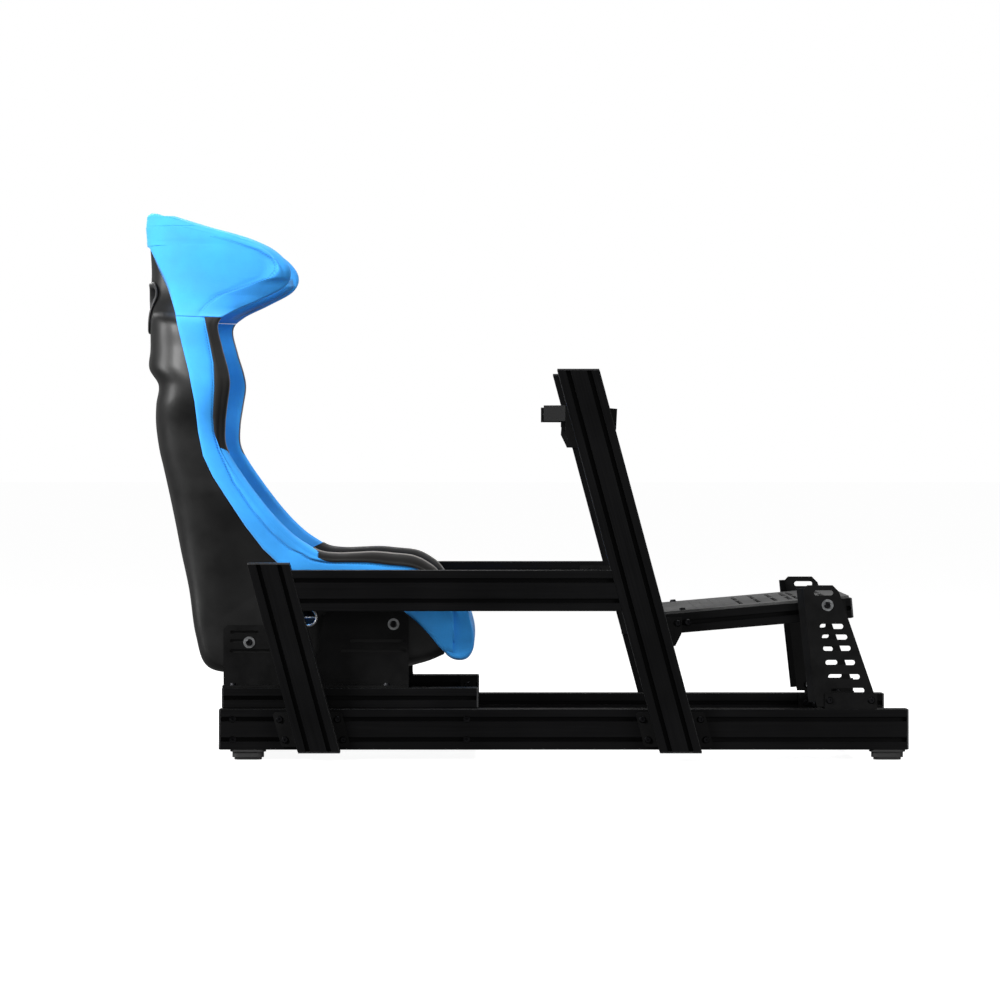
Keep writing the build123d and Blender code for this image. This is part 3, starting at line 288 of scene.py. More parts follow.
# ---- the seat's form ----
# Each row gives the back of a section, its front edge, its half-width there and how boxy it is,
# as in the CAD shell. A section between two rows is called by a number between theirs.
SECTIONS = np.array([
    (-0.746, 1.076, -0.692, 1.077, 0.134, 0.0),
    (-0.748, 1.055, -0.622, 1.055, 0.156, 0.0),
    (-0.746, 1.030, -0.540, 1.031, 0.174, 0.0),
    (-0.743, 1.002, -0.486, 1.004, 0.186, 0.0),
    (-0.741, 0.966, -0.458, 0.968, 0.192, 0.0),
    (-0.742, 0.934, -0.468, 0.936, 0.196, 0.0),
    (-0.743, 0.910, -0.518, 0.908, 0.206, 0.0),
    (-0.742, 0.886, -0.574, 0.882, 0.232, 0.0),
    (-0.741, 0.864, -0.598, 0.858, 0.260, 0.0),
    (-0.740, 0.812, -0.589, 0.810, 0.272, 0.0),
    (-0.742, 0.772, -0.577, 0.768, 0.284, 0.0),
    (-0.723, 0.738, -0.573, 0.738, 0.290, 0.0),
    (-0.728, 0.700, -0.578, 0.700, 0.283, 0.0),
    (-0.729, 0.660, -0.583, 0.660, 0.268, 0.0),
    (-0.723, 0.612, -0.582, 0.619, 0.260, 0.0),
    (-0.714, 0.572, -0.564, 0.583, 0.258, 0.0),
    (-0.703, 0.522, -0.527, 0.530, 0.256, 0.0),
    (-0.690, 0.462, -0.489, 0.481, 0.254, 0.2),
    (-0.678, 0.405, -0.452, 0.443, 0.250, 0.5),
    (-0.661, 0.330, -0.422, 0.421, 0.247, 0.8),
    (-0.647, 0.240, -0.396, 0.407, 0.244, 1.0),
    (-0.622, 0.176, -0.362, 0.403, 0.240, 1.0),
    (-0.545, 0.163, -0.325, 0.404, 0.238, 1.0),
    (-0.440, 0.161, -0.290, 0.405, 0.235, 1.0),
    (-0.340, 0.163, -0.255, 0.402, 0.232, 1.0),
    (-0.260, 0.170, -0.212, 0.397, 0.227, 1.0),
    (-0.190, 0.186, -0.180, 0.382, 0.218, 1.0),
    (-0.150, 0.202, -0.160, 0.364, 0.212, 1.0),
])
LAST = len(SECTIONS) - 1
# Seams as they run in side view: where the shell meets the cover, the outer panel's seam, and the
# wings' edge seam.
COVER_EDGE = [(-0.752, 1.030), (-0.738, 1.005), (-0.721, 0.968), (-0.702, 0.931), (-0.682, 0.878),
              (-0.667, 0.817), (-0.652, 0.761), (-0.641, 0.704), (-0.635, 0.644), (-0.626, 0.598),
              (-0.607, 0.557), (-0.573, 0.504), (-0.543, 0.458), (-0.509, 0.413), (-0.470, 0.376),
              (-0.420, 0.352), (-0.340, 0.336), (-0.270, 0.314), (-0.234, 0.292), (-0.205, 0.268),
              (-0.182, 0.245), (-0.162, 0.220), (-0.146, 0.203), (-0.132, 0.194)]
PANEL_SEAM = [(-0.632, 0.905), (-0.625, 0.877), (-0.614, 0.828), (-0.604, 0.779), (-0.602, 0.734),
              (-0.606, 0.674), (-0.604, 0.645), (-0.595, 0.613), (-0.565, 0.545), (-0.527, 0.489),
              (-0.489, 0.444), (-0.452, 0.413), (-0.414, 0.398), (-0.370, 0.393), (-0.330, 0.390),
              (-0.237, 0.387), (-0.205, 0.381), (-0.187, 0.368), (-0.150, 0.338)]
WING_SEAM = [(-0.640, 0.866), (-0.632, 0.883), (-0.620, 0.899), (-0.598, 0.916), (-0.567, 0.927),
             (-0.529, 0.941), (-0.496, 0.952), (-0.484, 0.966), (-0.484, 0.985), (-0.520, 1.006),
             (-0.580, 1.026), (-0.640, 1.042), (-0.700, 1.056)]
BLACK_PANEL_TIPS = (0.644, 0.600)  # heights of the crest between which the torso's black panel tapers away
THIGH_PANEL_TIPS = (-0.412, -0.350)  # where along X the thigh's black panel starts

PROFILE_KEYS = np.array([0.0, 0.16, 0.34, 0.52, 0.70, 0.85, 1.0])
ROUNDED = np.array([(0, 0), (0.28, 0.0), (0.54, 0.012), (0.80, 0.10), (0.94, 0.34), (0.985, 0.66), (1, 1)])
WALL = 0.2135  # half-width of the seat pan between its upright walls
PROFILE_STEPS = np.linspace(0, 1, 201)


def through(keys, values, at):
    """Smooth curve through rows of values at the given keys, read at other keys."""
    keys = np.asarray(keys, float)
    values = np.asarray(values, float)
    gaps = np.diff(keys)[:, None]
    slopes = np.diff(values, axis=0) / gaps
    inner = (slopes[:-1] * gaps[1:] + slopes[1:] * gaps[:-1]) / (gaps[:-1] + gaps[1:])
    tangents = np.vstack([slopes[:1], inner, slopes[-1:]])
    at = np.clip(np.atleast_1d(at), keys[0], keys[-1])
    index = np.clip(np.searchsorted(keys, at) - 1, 0, len(keys) - 2)
    gap = gaps[index]
    t = (at - keys[index])[:, None] / gap
    start = values[index] * (1 + 2 * t) * (1 - t) ** 2 + tangents[index] * gap * t * (1 - t) ** 2
    return start + values[index + 1] * t * t * (3 - 2 * t) + tangents[index + 1] * gap * t * t * (t - 1)


def smooth_step(value, start, end):
    t = np.clip((value - start) / (end - start), 0, 1)
    return t * t * (3 - 2 * t)


class Section:
    """One slanted section of the seat: its plane, and its skin from mid-back to the front edge."""

    def __init__(self, rows, s):
        row = through(np.arange(len(rows)), rows, s)[0]
        self.s = s
        self.back = row[0:2]
        reach = row[2:4] - row[0:2]
        self.depth = np.hypot(*reach)
        self.reach = reach / self.depth
        self.crest = row[2:4]
        self.half = row[4]
        square = np.clip(row[5], 0, 1)
        boxy = np.array([(0, 0), (0.085, 0), (0.165, 0.0005), (0.205, 0.012), (WALL, 0.05),
                         (WALL, 0.55 * self.depth), (self.half, self.depth)])
        controls = ROUNDED * (self.half, self.depth) * (1 - square) + boxy * square
        self.skin = through(PROFILE_KEYS, controls, PROFILE_STEPS)
        self.skin[:, 1] = np.maximum.accumulate(self.skin[:, 1] + PROFILE_STEPS * 1e-5)
        tangent = np.gradient(self.skin, axis=0)
        self.tangent = tangent / np.linalg.norm(tangent, axis=1)[:, None]
        steps = np.hypot(*np.diff(self.skin, axis=0).T)
        self.length = steps.sum()

    def at(self, u, out=0.0, up=0.0):
        """Points at shares u of the skin, moved out of the skin and up along it, as rows of y and depth."""
        place = np.stack([np.interp(u, PROFILE_STEPS, self.skin[:, k]) for k in (0, 1)], 1)
        along = np.stack([np.interp(u, PROFILE_STEPS, self.tangent[:, k]) for k in (0, 1)], 1)
        normal = np.stack([along[:, 1], -along[:, 0]], 1)
        return place + normal * np.reshape(out, (-1, 1)) + along * np.reshape(up, (-1, 1))

    def to_space(self, points, side=1.0):
        x = self.back[0] + self.reach[0] * points[:, 1]
        z = self.back[1] + self.reach[1] * points[:, 1]
        return np.stack([x, points[:, 0] * side, z], 1)

    def share_at_depth(self, depth):
        return float(np.interp(depth, self.skin[:, 1], PROFILE_STEPS))

    def cross(self, line, default):
        """Depth at which a line drawn in side view crosses this section."""
        offset = np.asarray(line) - self.back
        height = offset[:, 0] * self.reach[1] - offset[:, 1] * self.reach[0]
        depth = offset @ self.reach
        for k in range(len(line) - 1):
            if height[k] * height[k + 1] <= 0 and height[k] != height[k + 1]:
                t = height[k] / (height[k] - height[k + 1])
                found = depth[k] + t * (depth[k + 1] - depth[k])
                if -0.005 <= found <= self.depth * 1.02:
                    return found
        return default


# The cover carries on past the shell's front edge, down to the corner seam of the front panel.
COVER_SECTIONS = np.vstack([SECTIONS, [(-0.128, 0.196, -0.134, 0.322, 0.208, 1.0)]])
COVER_LAST = len(COVER_SECTIONS) - 1
SHELL_WALL = 0.0055
TUCK = 0.012  # how far the shell's edge runs under the cover
FIRST_SHELL = 2.25  # section at which the shell's top arch ends
HEAD_END = 7.55  # section at which the head cover meets the torso covers
THIGH_START = 17  # section that parts the torso's black panel from the thigh's
NECK = 6.6  # section at which the wings have ended
UNDER_GAP = 0.0012  # clearance of a cover below the shell it wraps
OVER_GAP = 0.0004  # clearance of a cover's tucked edge above the shell
NOT_BLACK = 999  # larger than any point number of a ring
CLOSING_TURNS = (0.995, 0.85, 0.6, 0.3)  # how far the head cover's first rings have closed
TUCK_START = 0.86  # share of a side cover's inner face after which it dives to the shell


def cover_edge(section):
    """Share of the skin at which the cover starts."""
    depth = section.cross(COVER_EDGE, 0.0 if section.s < 5 else 0.03)
    return max(section.share_at_depth(depth), 0.05 if section.s < 20 else 0.42)


def seam_share(section, line, fallback):
    """Share of the skin at which a seam runs."""
    return section.share_at_depth(section.cross(line, fallback * section.depth))


def make_object(name, vertices, faces, materials, face_materials=None):
    mesh = bpy.data.meshes.new(name)
    mesh.from_pydata([tuple(v) for v in vertices], [], faces)
    for material in materials:
        mesh.materials.append(material)
    if face_materials is not None:
        mesh.polygons.foreach_set("material_index", face_materials)
    mesh.polygons.foreach_set("use_smooth", [True] * len(mesh.polygons))
    obj = bpy.data.objects.new(name, mesh)
    bpy.context.scene.collection.objects.link(obj)
    return obj


def bake(obj):
    """Makes an object's modifiers part of its mesh."""
    view = bpy.context.evaluated_depsgraph_get()
    obj.data = bpy.data.meshes.new_from_object(obj.evaluated_get(view))
    obj.modifiers.clear()


def points_of(mesh):
    flat = np.empty(len(mesh.vertices) * 3)
    mesh.vertices.foreach_get("co", flat)
    return flat.reshape(-1, 3)


def make_outward(obj):
    """Welds doubled points and turns every face outwards."""
    work = bmesh.new()
    work.from_mesh(obj.data)
    bmesh.ops.remove_doubles(work, verts=work.verts, dist=1e-6)
    bmesh.ops.recalc_face_normals(work, faces=work.faces)
    work.to_mesh(obj.data)
    work.free()
    return obj


def swept(name, rings, materials, pick=None, caps=True):
    """Closed solid through rings of equal size; pick(i, j) gives the material of a ring's face."""
    count = len(rings[0])
    vertices = np.concatenate(rings)
    faces, chosen = [], []
    for i in range(len(rings) - 1):
        for j in range(count):
            k = (j + 1) % count
            faces.append((i * count + j, i * count + k, (i + 1) * count + k, (i + 1) * count + j))
            chosen.append(pick(i, j) if pick else 0)
    if caps:
        last = (len(rings) - 1) * count
        faces += [tuple(range(count))[::-1], tuple(range(last, last + count))]
        chosen += [0, 0]
    return make_outward(make_object(name, vertices, faces, materials, chosen))


# ---- covers ----
LOWER_PANEL, UPPER_PANEL, ROLL, INNER = 12, 16, 11, 20
COVER_OUT = 0.0035
LEAST_ROLL = 0.011  # smallest radius with which a cover turns over its crest


def puffed(count, rise, low=0.0006):
    """Height of a panel between two seams: pulled down at both, full between."""
    t = np.linspace(0, 1, count)
    return low + (COVER_OUT + rise - low) * np.clip(np.sin(pi * t), 0, 1) ** 0.35


def cover_side(section, edge, seam, end, rim, belly, tuck_in, slope=0.0, seam_low=0.0006):
    """Right half of a cover's loop, from its outer edge over the crest and down inside.

    Above the seam the cover leans inwards by the slope, an angle, and then turns over the crest in
    one arc. The loop is given as shares of the skin, offsets out of it and offsets up along it.
    """
    border = max(0.004, (section.share_at_depth(section.depth) - seam) * section.length)
    slope = min(slope, atan((rim + COVER_OUT - 2 * LEAST_ROLL) / border))
    lean, gain = tan(slope), 1 - sin(slope)
    radius = (rim + COVER_OUT - border * lean) / (1 + cos(slope) - gain * lean)
    top = section.share_at_depth(section.depth - radius * gain * 0.95)
    seam = min(max(seam, edge + 0.01), top - 0.01)
    u = [np.linspace(edge, seam, LOWER_PANEL), np.linspace(seam, top, UPPER_PANEL + 1)[1:]]
    lower = puffed(LOWER_PANEL, 0.0025)
    lower[LOWER_PANEL // 2:] = np.maximum(lower[LOWER_PANEL // 2:], seam_low)
    upper = np.maximum(puffed(UPPER_PANEL + 1, 0.0035)[1:], seam_low)
    upper[UPPER_PANEL // 2:] = np.maximum(upper[UPPER_PANEL // 2:], COVER_OUT)
    out = [lower, upper - (u[1] - seam) * section.length * lean]
    up = [np.zeros(LOWER_PANEL + UPPER_PANEL)]
    radius = (COVER_OUT - (top - seam) * section.length * lean + rim) / (1 + cos(slope))
    angles = np.linspace(slope, pi, ROLL + 2)[1:-1]
    u.append(np.full(ROLL, top))
    out.append(radius * (1 + np.cos(angles)) - rim)
    up.append(radius * (np.sin(angles) - sin(slope)))
    t = np.linspace(0, 1, INNER)
    depth = rim + (belly - rim) * np.sin(t * pi / 2) ** 1.5
    if tuck_in:
        dive = np.sqrt(np.clip(1 - ((t - TUCK_START) / 0.14) ** 2, 0, 1))
        floor = SHELL_WALL + 0.004
        depth = np.where(t > TUCK_START, floor + (depth - floor) * dive, depth)
    u.append(top + (end - top) * t)
    out.append(-depth)
    up.append(np.zeros(INNER))
    return np.concatenate(u), np.concatenate(out), np.concatenate(up)


def seam_rows(rings):
    """Rows of stitches at both sides of the seam after a cover's lower panel."""
    return [[beside(ring, LOWER_PANEL - 1, way * SEAM_MARGIN) for ring in rings] for way in (-1, 1)]


def side_cover(side, name):
    """Cover of one side, from the shoulder to the front corner, closed round the shell's tucked edge."""
    stations = np.concatenate([np.arange(HEAD_END, 20, 0.05), np.arange(20, COVER_LAST + 1e-6, 0.035)])
    rings, black_from, crest = [], [], []
    for s in stations:
        section = Section(COVER_SECTIONS, s)
        edge = cover_edge(section)
        seam = seam_share(section, PANEL_SEAM, 0.8)
        boxiness = smooth_step(s, 16, 20)
        inside = section.share_at_depth(section.depth * (0.13 + 0.45 * smooth_step(s, 19.4, 21.6)))
        rim = 0.020 + 0.004 * boxiness
        u, out, up = cover_side(section, edge, seam, inside, rim, 0.031, True)
        tucked = edge + TUCK / section.length
        u = np.concatenate([u, np.linspace(inside, tucked, 10), [tucked, edge]])
        out = np.concatenate([out, np.full(10, -SHELL_WALL - UNDER_GAP), [OVER_GAP, OVER_GAP]])
        up = np.concatenate([up, np.zeros(12)])
        rings.append(section.to_space(section.at(u, out, up), side))
        height, ahead = section.crest[1], section.crest[0]
        torso = smooth_step(height, BLACK_PANEL_TIPS[1], BLACK_PANEL_TIPS[0])
        thigh = smooth_step(ahead, *THIGH_PANEL_TIPS)
        shown = torso if height > 0.5 else thigh
        start = LOWER_PANEL + (UPPER_PANEL + ROLL / 2) * (1 - shown)
        black_from.append(start if shown > 0 else NOT_BLACK)
        past = 2 if s < THIGH_START else 0
        crest.append(rings[-1][LOWER_PANEL + UPPER_PANEL + ROLL // 2 + past])
    over = LOWER_PANEL + UPPER_PANEL + ROLL // 2

    def pick(i, j):
        last = over + 2 if stations[i] < THIGH_START else over + ROLL // 2 + 4
        return 1 if black_from[i] - 1 <= j < last else 0

    cover = swept(name, rings, [BLUE, BLACK_KNIT], pick)
    dark = [k for k, start in enumerate(black_from) if start < NOT_BLACK]
    torso = [crest[k] for k in dark if stations[k] < THIGH_START]
    thigh = [crest[k] for k in dark if stations[k] >= THIGH_START]
    return cover, torso, thigh, seam_rows(rings[4:-14])


def head_cover():
    """The head's cover and its rows of stitches: both wings, the padded inside and the top."""
    stations = np.concatenate([np.arange(0, 3, 0.04), np.arange(3, HEAD_END - 0.02, 0.05)])
    rings = [head_ring(0.0, turn) for turn in CLOSING_TURNS] + [head_ring(s, 0.0) for s in stations]
    return swept("head_cover", rings, [BLUE]), seam_rows(rings[len(CLOSING_TURNS) + 45:-8])


def head_ring(s, closing):
    """One loop of the head cover; closing goes from 0 to 1 as the top edge rounds over."""
    section = Section(SECTIONS, s)
    edge = cover_edge(section)
    seam = seam_share(section, WING_SEAM, 0.8)
    wings = smooth_step(s, 0, 2)
    neck = smooth_step(s, NECK, HEAD_END)
    lower_edge = smooth_step(s, 3.6, 5.0) * (1 - neck)
    rim = 0.024 + 0.006 * wings + 0.016 * lower_edge - 0.008 * neck
    seam_low = 0.0006 + 0.0060 * (1 - smooth_step(s, 1.8, 3.4))
    belly = max(rim, 0.026 + 0.004 * wings)
    u, out, up = cover_side(section, edge, seam, 0.0, rim, belly, False, radians(40) * lower_edge, seam_low)
    under = SHELL_WALL + UNDER_GAP
    shut = smooth_step(s, FIRST_SHELL - 0.15, FIRST_SHELL - 0.02)
    back = -COVER_OUT * (1 - shut) + under * shut
    tucked = edge + TUCK / section.length
    closing_u = np.concatenate([[tucked], np.linspace(tucked, 0, 12)])
    closing_out = np.concatenate([[OVER_GAP * shut + COVER_OUT * (1 - shut)], np.full(12, -back)])
    if closing:
        middle = -0.012
        round_over = cos(closing * pi / 2)
        out = middle + (out - middle) * round_over
        up = up * round_over
        closing_out = middle + (closing_out - middle) * round_over
    right = section.at(u, out, up)
    close_right = section.at(closing_u, closing_out)
    mirror = (-1, 1)
    loop = [right, right[::-1][1:] * mirror, close_right * mirror, close_right[::-1][1:]]
    ring = section.to_space(np.concatenate(loop))
    forward = (ring[:, 0] - section.back[0]) / (section.crest[0] - section.back[0])
    ring[:, 2] += (0.009 - 0.013 * smooth_step(forward, 0.1, 1.0)) * sin(closing * pi / 2)
    return ring


def tube(name, path, radius, material, sides=8):
    """Round cord through a path of points, closed at both ends."""
    path = np.asarray(path)
    tangent = np.gradient(path, axis=0)
    tangent /= np.linalg.norm(tangent, axis=1)[:, None]
    across = np.cross(tangent, (0.0, 1.0, 0.0))
    across /= np.linalg.norm(across, axis=1)[:, None]
    third = np.cross(tangent, across)
    angles = np.linspace(0, 2 * pi, sides, endpoint=False)
    rings = []
    for i, place in enumerate(path):
        swell = min(1.0, 0.35 + 0.3 * min(i, len(path) - 1 - i))
        circle = np.outer(np.cos(angles), across[i]) + np.outer(np.sin(angles), third[i])
        rings.append(place + radius * swell * circle)
    return swept(name, rings, [material])


def beside(ring, start, distance):
    """Point of a ring at a distance along it from one of its points, backwards if negative."""
    walk = (ring[start:] if distance > 0 else ring[start::-1])[:8]
    steps = np.concatenate([[0], np.cumsum(np.linalg.norm(np.diff(walk, axis=0), axis=1))])
    return np.array([np.interp(abs(distance), steps, walk[:, k]) for k in range(3)])


def stitches(name, path, material, pitch=0.0058, length=0.0041, radius=0.0005):
    """Row of sewn stitches along a path, each a short closed thread half sunk in the cloth."""
    path = np.asarray(path)
    steps = np.concatenate([[0], np.cumsum(np.linalg.norm(np.diff(path, axis=0), axis=1))])
    vertices, faces = [], []
    for place in np.arange(pitch, steps[-1] - pitch, pitch):
        spots = [np.array([np.interp(place + length * t, steps, path[:, k]) for k in range(3)])
                 for t in (-0.5, -0.3, 0.3, 0.5)]
        way = (spots[3] - spots[0]) / np.linalg.norm(spots[3] - spots[0])
        across = np.cross(way, (0.31, 0.52, 0.79))
        across /= np.linalg.norm(across)
        third = np.cross(way, across)
        base = len(vertices)
        vertices.append(spots[0])
        for spot in spots[1:3]:
            vertices += [spot + radius * turn for turn in (across, third, -across, -third)]
        vertices.append(spots[3])
        for k in range(4):
            a, b = base + 1 + k, base + 1 + (k + 1) % 4
            faces += [(base, b, a), (a, b, b + 4, a + 4), (base + 9, a + 4, b + 4)]
    return make_outward(make_object(name, vertices, faces, [material]))


SEAM_MARGIN = 0.0042  # from a seam to the row of stitches beside it


def seat_piece(obj, material_slot, *nodes):
    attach(obj, "seat")
    if nodes:
        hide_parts(*nodes)
    return obj


head, wing_rows = head_cover()
seat_piece(head, "blue_fabric", "head_wing_pads")
for side, hand in ((1, "left"), (-1, "right")):
    cover, torso, thigh, rows = side_cover(side, f"side_cover_{hand}")
    seat_piece(cover, "blue_fabric", f"torso_bolster_{hand}", "thigh_bolsters")
    # Grey cords along each black panel's crest: partly piping, partly a painted highlight where light catches
    # the crest.
    for label, path in (("torso", torso), ("thigh", thigh)):
        seat_piece(tube(f"{label}_piping_{hand}", path, 0.0018, PIPING_HIGHLIGHT), "black_fabric")
    for number, (cover_row, wing_row) in enumerate(zip(rows, wing_rows)):
        seat_piece(stitches(f"cover_stitches_{hand}_{number}", cover_row, BLUE_THREAD), "blue_fabric")
        wing_row = np.array(wing_row) * (1, side, 1)
        seat_piece(stitches(f"wing_stitches_{hand}_{number}", wing_row, BLUE_THREAD), "blue_fabric")


# ---- shell ----
SHOULDER_SLOT = (0.107, 0.893)  # middle of a shoulder-belt slot, from the centre plane and from the floor
SHOULDER_HALF = (0.0525, 0.0435)
SHOULDER_CORNER = 0.036
LAP_SLOT = (-0.440, 0.277)
LAP_HALF = (0.035, 0.017)


def slab(name, outer, inner, materials):
    """Closed solid between two grids of points of one size, with faces round the rim."""
    rows, columns = outer.shape[:2]
    far = rows * columns
    vertices = np.concatenate([outer.reshape(-1, 3), inner.reshape(-1, 3)])
    index = np.arange(far).reshape(rows, columns)
    faces = []
    for sheet, turn in ((index, 1), (index + far, -1)):
        for i in range(rows - 1):
            for j in range(columns - 1):
                corners = (sheet[i, j], sheet[i, j + 1], sheet[i + 1, j + 1], sheet[i + 1, j])
                faces.append(tuple(int(corner) for corner in corners)[::turn])
    rim = [int(k) for k in (*index[0], *index[1:, -1], *index[-1, -2::-1], *index[-2:0:-1, 0])]
    for a, b in zip(rim, rim[1:] + rim[:1]):
        faces.append((a, a + far, b + far, b))
    return make_outward(make_object(name, vertices, faces, materials))


def rounded_loop(half_width, half_height, corner, steps=10):
    """Points and outward directions round a rounded rectangle."""
    points, normals = [], []
    for turn in range(4):
        sign = ((1, 1), (-1, 1), (-1, -1), (1, -1))[turn]
        centre = np.array([sign[0] * (half_width - corner), sign[1] * (half_height - corner)])
        for angle in np.linspace(turn * pi / 2, (turn + 1) * pi / 2, steps):
            normal = np.array([cos(angle), sin(angle)])
            points.append(centre + corner * normal)
            normals.append(normal)
    return np.array(points), np.array(normals)


def shell_skin(y, z):
    """X of the shell's outer skin at the upper back."""
    section = Section(SECTIONS, float(np.interp(-z, -SECTIONS[:12, 1], np.arange(12))))
    depth = np.interp(abs(y), section.skin[:, 0], section.skin[:, 1])
    return section.back[0] + section.reach[0] * depth


def cut(obj, cutter):
    """Subtracts a cutter and throws it away."""
    change = obj.modifiers.new("cut", "BOOLEAN")
    change.operation = "DIFFERENCE"
    change.solver = "EXACT"
    change.object = cutter
    bpy.context.view_layer.update()
    bake(obj)
    bpy.data.objects.remove(cutter)


def prism(name, loop, start, end, to_space):
    """Straight cutter with the given loop, from start to end along its axis."""
    return swept(name, [to_space(loop, start), to_space(loop, end)], [SHELL])


def along_x(loop, x):
    return np.stack([np.full(len(loop), x), loop[:, 0], loop[:, 1]], 1)


def along_y(loop, y):
    return np.stack([loop[:, 0], np.full(len(loop), y), loop[:, 1]], 1)


def seat_shell():
    """Glass-fibre shell: an outer and an inner skin closed along the rim, with its belt slots cut."""
    stations = np.concatenate([np.arange(FIRST_SHELL, 20, 0.08), np.arange(20, LAST + 1e-6, 0.06)])
    shares = np.sin(np.linspace(-1, 1, 121) * pi / 2 * 0.96) / sin(pi / 2 * 0.96)
    outer, inner = [], []
    for s in stations:
        section = Section(SECTIONS, s)
        reach = cover_edge(section) + TUCK / section.length
        u = shares * reach
        for rows, offset in ((outer, 0.0), (inner, -SHELL_WALL)):
            flat = section.at(np.abs(u), np.full(len(u), offset))
            flat[:, 0] *= np.sign(u)
            rows.append(section.to_space(flat))
    shell = slab("moulded_shell", np.array(outer), np.array(inner), [SHELL])
    for side in (1, -1):
        loop, _ = rounded_loop(*SHOULDER_HALF, SHOULDER_CORNER)
        cut(shell, prism("cutter", loop + (side * SHOULDER_SLOT[0], SHOULDER_SLOT[1]), -0.80, -0.69, along_x))
        loop, _ = rounded_loop(*LAP_HALF, LAP_HALF[1] * 0.98)
        cut(shell, prism("cutter", loop + LAP_SLOT, side * 0.19, side * 0.24, along_y))
    return shell


def slot_rim(side, hand):
    """Moulded bezel that lines a shoulder-belt slot from the shell's back to the head cover's face."""
    profile = np.array([
        (0.0085, -0.0002), (0.0080, -0.0030), (0.0040, -0.0044), (-0.0008, -0.0036), (-0.0030, -0.0005),
        (-0.0034, 0.0180), (-0.0030, 0.0355), (-0.0008, 0.0385), (0.0040, 0.0396), (0.0084, 0.0380),
        (0.0086, 0.0350), (0.0008, 0.0340), (0.0006, 0.0180), (0.0008, 0.0006)])
    loop, normals = rounded_loop(*SHOULDER_HALF, SHOULDER_CORNER, 14)
    rings = []
    for point, normal in zip(loop, normals):
        spots = point + np.outer(profile[:, 0], normal) + (side * SHOULDER_SLOT[0], SHOULDER_SLOT[1])
        x = shell_skin(*(point + (side * SHOULDER_SLOT[0], SHOULDER_SLOT[1]))) + profile[:, 1]
        rings.append(np.stack([x, spots[:, 0], spots[:, 1]], 1))
    rings.append(rings[0])
    return swept(f"belt_slot_bezel_{hand}", rings, [PLASTIC], caps=False)


def lap_rim(side, hand):
    """Plated eyelet round a lap-belt slot."""
    angles = np.linspace(0, 2 * pi, 14, endpoint=False)
    profile = np.stack([0.0010 + 0.0026 * np.cos(angles), 0.0016 + 0.0046 * np.sin(angles)], 1)
    loop, normals = rounded_loop(*LAP_HALF, LAP_HALF[1] * 0.98, 12)
    rings = []
    for point, normal in zip(loop, normals):
        spots = point + np.outer(profile[:, 0], normal) + LAP_SLOT
        y = side * (WALL - SHELL_WALL / 2 + profile[:, 1] - 0.0016)
        rings.append(np.stack([spots[:, 0], y, spots[:, 1]], 1))
    rings.append(rings[0])
    return swept(f"lap_slot_eyelet_{hand}", rings, [ZINC], caps=False)


shell = seat_piece(seat_shell(), "shell_black", "seat_shell")
for side, hand in ((1, "left"), (-1, "right")):
    loop, _ = rounded_loop(*SHOULDER_HALF, SHOULDER_CORNER)
    cut(head, prism("cutter", loop + (side * SHOULDER_SLOT[0], SHOULDER_SLOT[1]), -0.80, -0.66, along_x))
    seat_piece(slot_rim(side, hand), "black_plastic", "belt_slot_trims")
    seat_piece(lap_rim(side, hand), "zinc")

# ---- cushions ----
def sewn(count, power):
    """Places from -1 to 1, closer together towards both ends."""
    t = np.linspace(-1, 1, count)
    return np.sign(t) * (1 - (1 - np.abs(t)) ** power)


def dome(a, b, sharp=6):
    """Height of a pad over its outline: 1 over most of it, 0 along the edge."""
    return np.sqrt(np.clip(1 - np.abs(a) ** sharp, 0, 1) * np.clip(1 - np.abs(b) ** sharp, 0, 1))


def on_seat(section, across, offset):
    """Points at distances across the seat from the centre plane, at an offset inside the skin."""
    share = np.interp(np.abs(across), section.skin[:, 0], PROFILE_STEPS)
    flat = section.at(share, -np.asarray(offset))
    flat[:, 0] *= np.where(across < 0, -1, 1)
    return section.to_space(flat)


def back_cushion():
    """Backrest pad between the side covers, crowned, from under the belt slots down to the seat cushion."""
    evened = SECTIONS.copy()
    for _ in range(2):
        evened[1:-1, 0] = (evened[:-2, 0] + 2 * evened[1:-1, 0] + evened[2:, 0]) / 4
    a = sewn(61, 1.25)
    b = sewn(81, 1.25)
    outer, inner = [], []
    for v in b:
        section = Section(SECTIONS, 14.08 + 5.62 * v)
        face = Section(evened, section.s)
        room = section.skin[np.searchsorted(section.skin[:, 1], section.depth * 0.27), 0] - 0.013
        across = room * a
        base = SHELL_WALL + 0.0025
        height = 0.013 + 0.018 * (1 - a ** 2) ** 0.6
        rise = dome(a, v, 8)
        outer.append(on_seat(face, across, base + height * (0.35 + 0.65 * rise)))
        inner.append(on_seat(section, across, base + height * 0.3 * (1 - rise)))
    return slab("back_pad", np.array(outer), np.array(inner), [BLUE])


def headrest():
    """Pad on the middle of the head cover."""
    a = sewn(45, 1.25)
    b = sewn(37, 1.25)
    outer, inner = [], []
    for v in b:
        section = Section(SECTIONS, 3.35 + 1.75 * v)
        across = 0.088 * a * (1 - 0.10 * v * v)
        rise = dome(a, v, 5)
        outer.append(on_seat(section, across, 0.030 + 0.022 * rise))
        inner.append(on_seat(section, across, 0.0285 - 0.004 * rise))
    return slab("headrest_pad", np.array(outer), np.array(inner), [BLACK_KNIT])


CUSHION_TOP = [(-0.628, 0.290), (-0.604, 0.274), (-0.580, 0.262), (-0.560, 0.252), (-0.500, 0.245),
               (-0.440, 0.244), (-0.385, 0.252), (-0.330, 0.268), (-0.280, 0.286), (-0.230, 0.299),
               (-0.190, 0.304), (-0.160, 0.300)]
CUSHION_BASE = [(-0.628, 0.236), (-0.604, 0.206), (-0.545, 0.181), (-0.440, 0.179), (-0.340, 0.181),
                (-0.262, 0.188), (-0.190, 0.204), (-0.160, 0.216)]
CUSHION_HALF = 0.196
CUSHION_MIDDLE, CUSHION_REACH = -0.392, 0.234


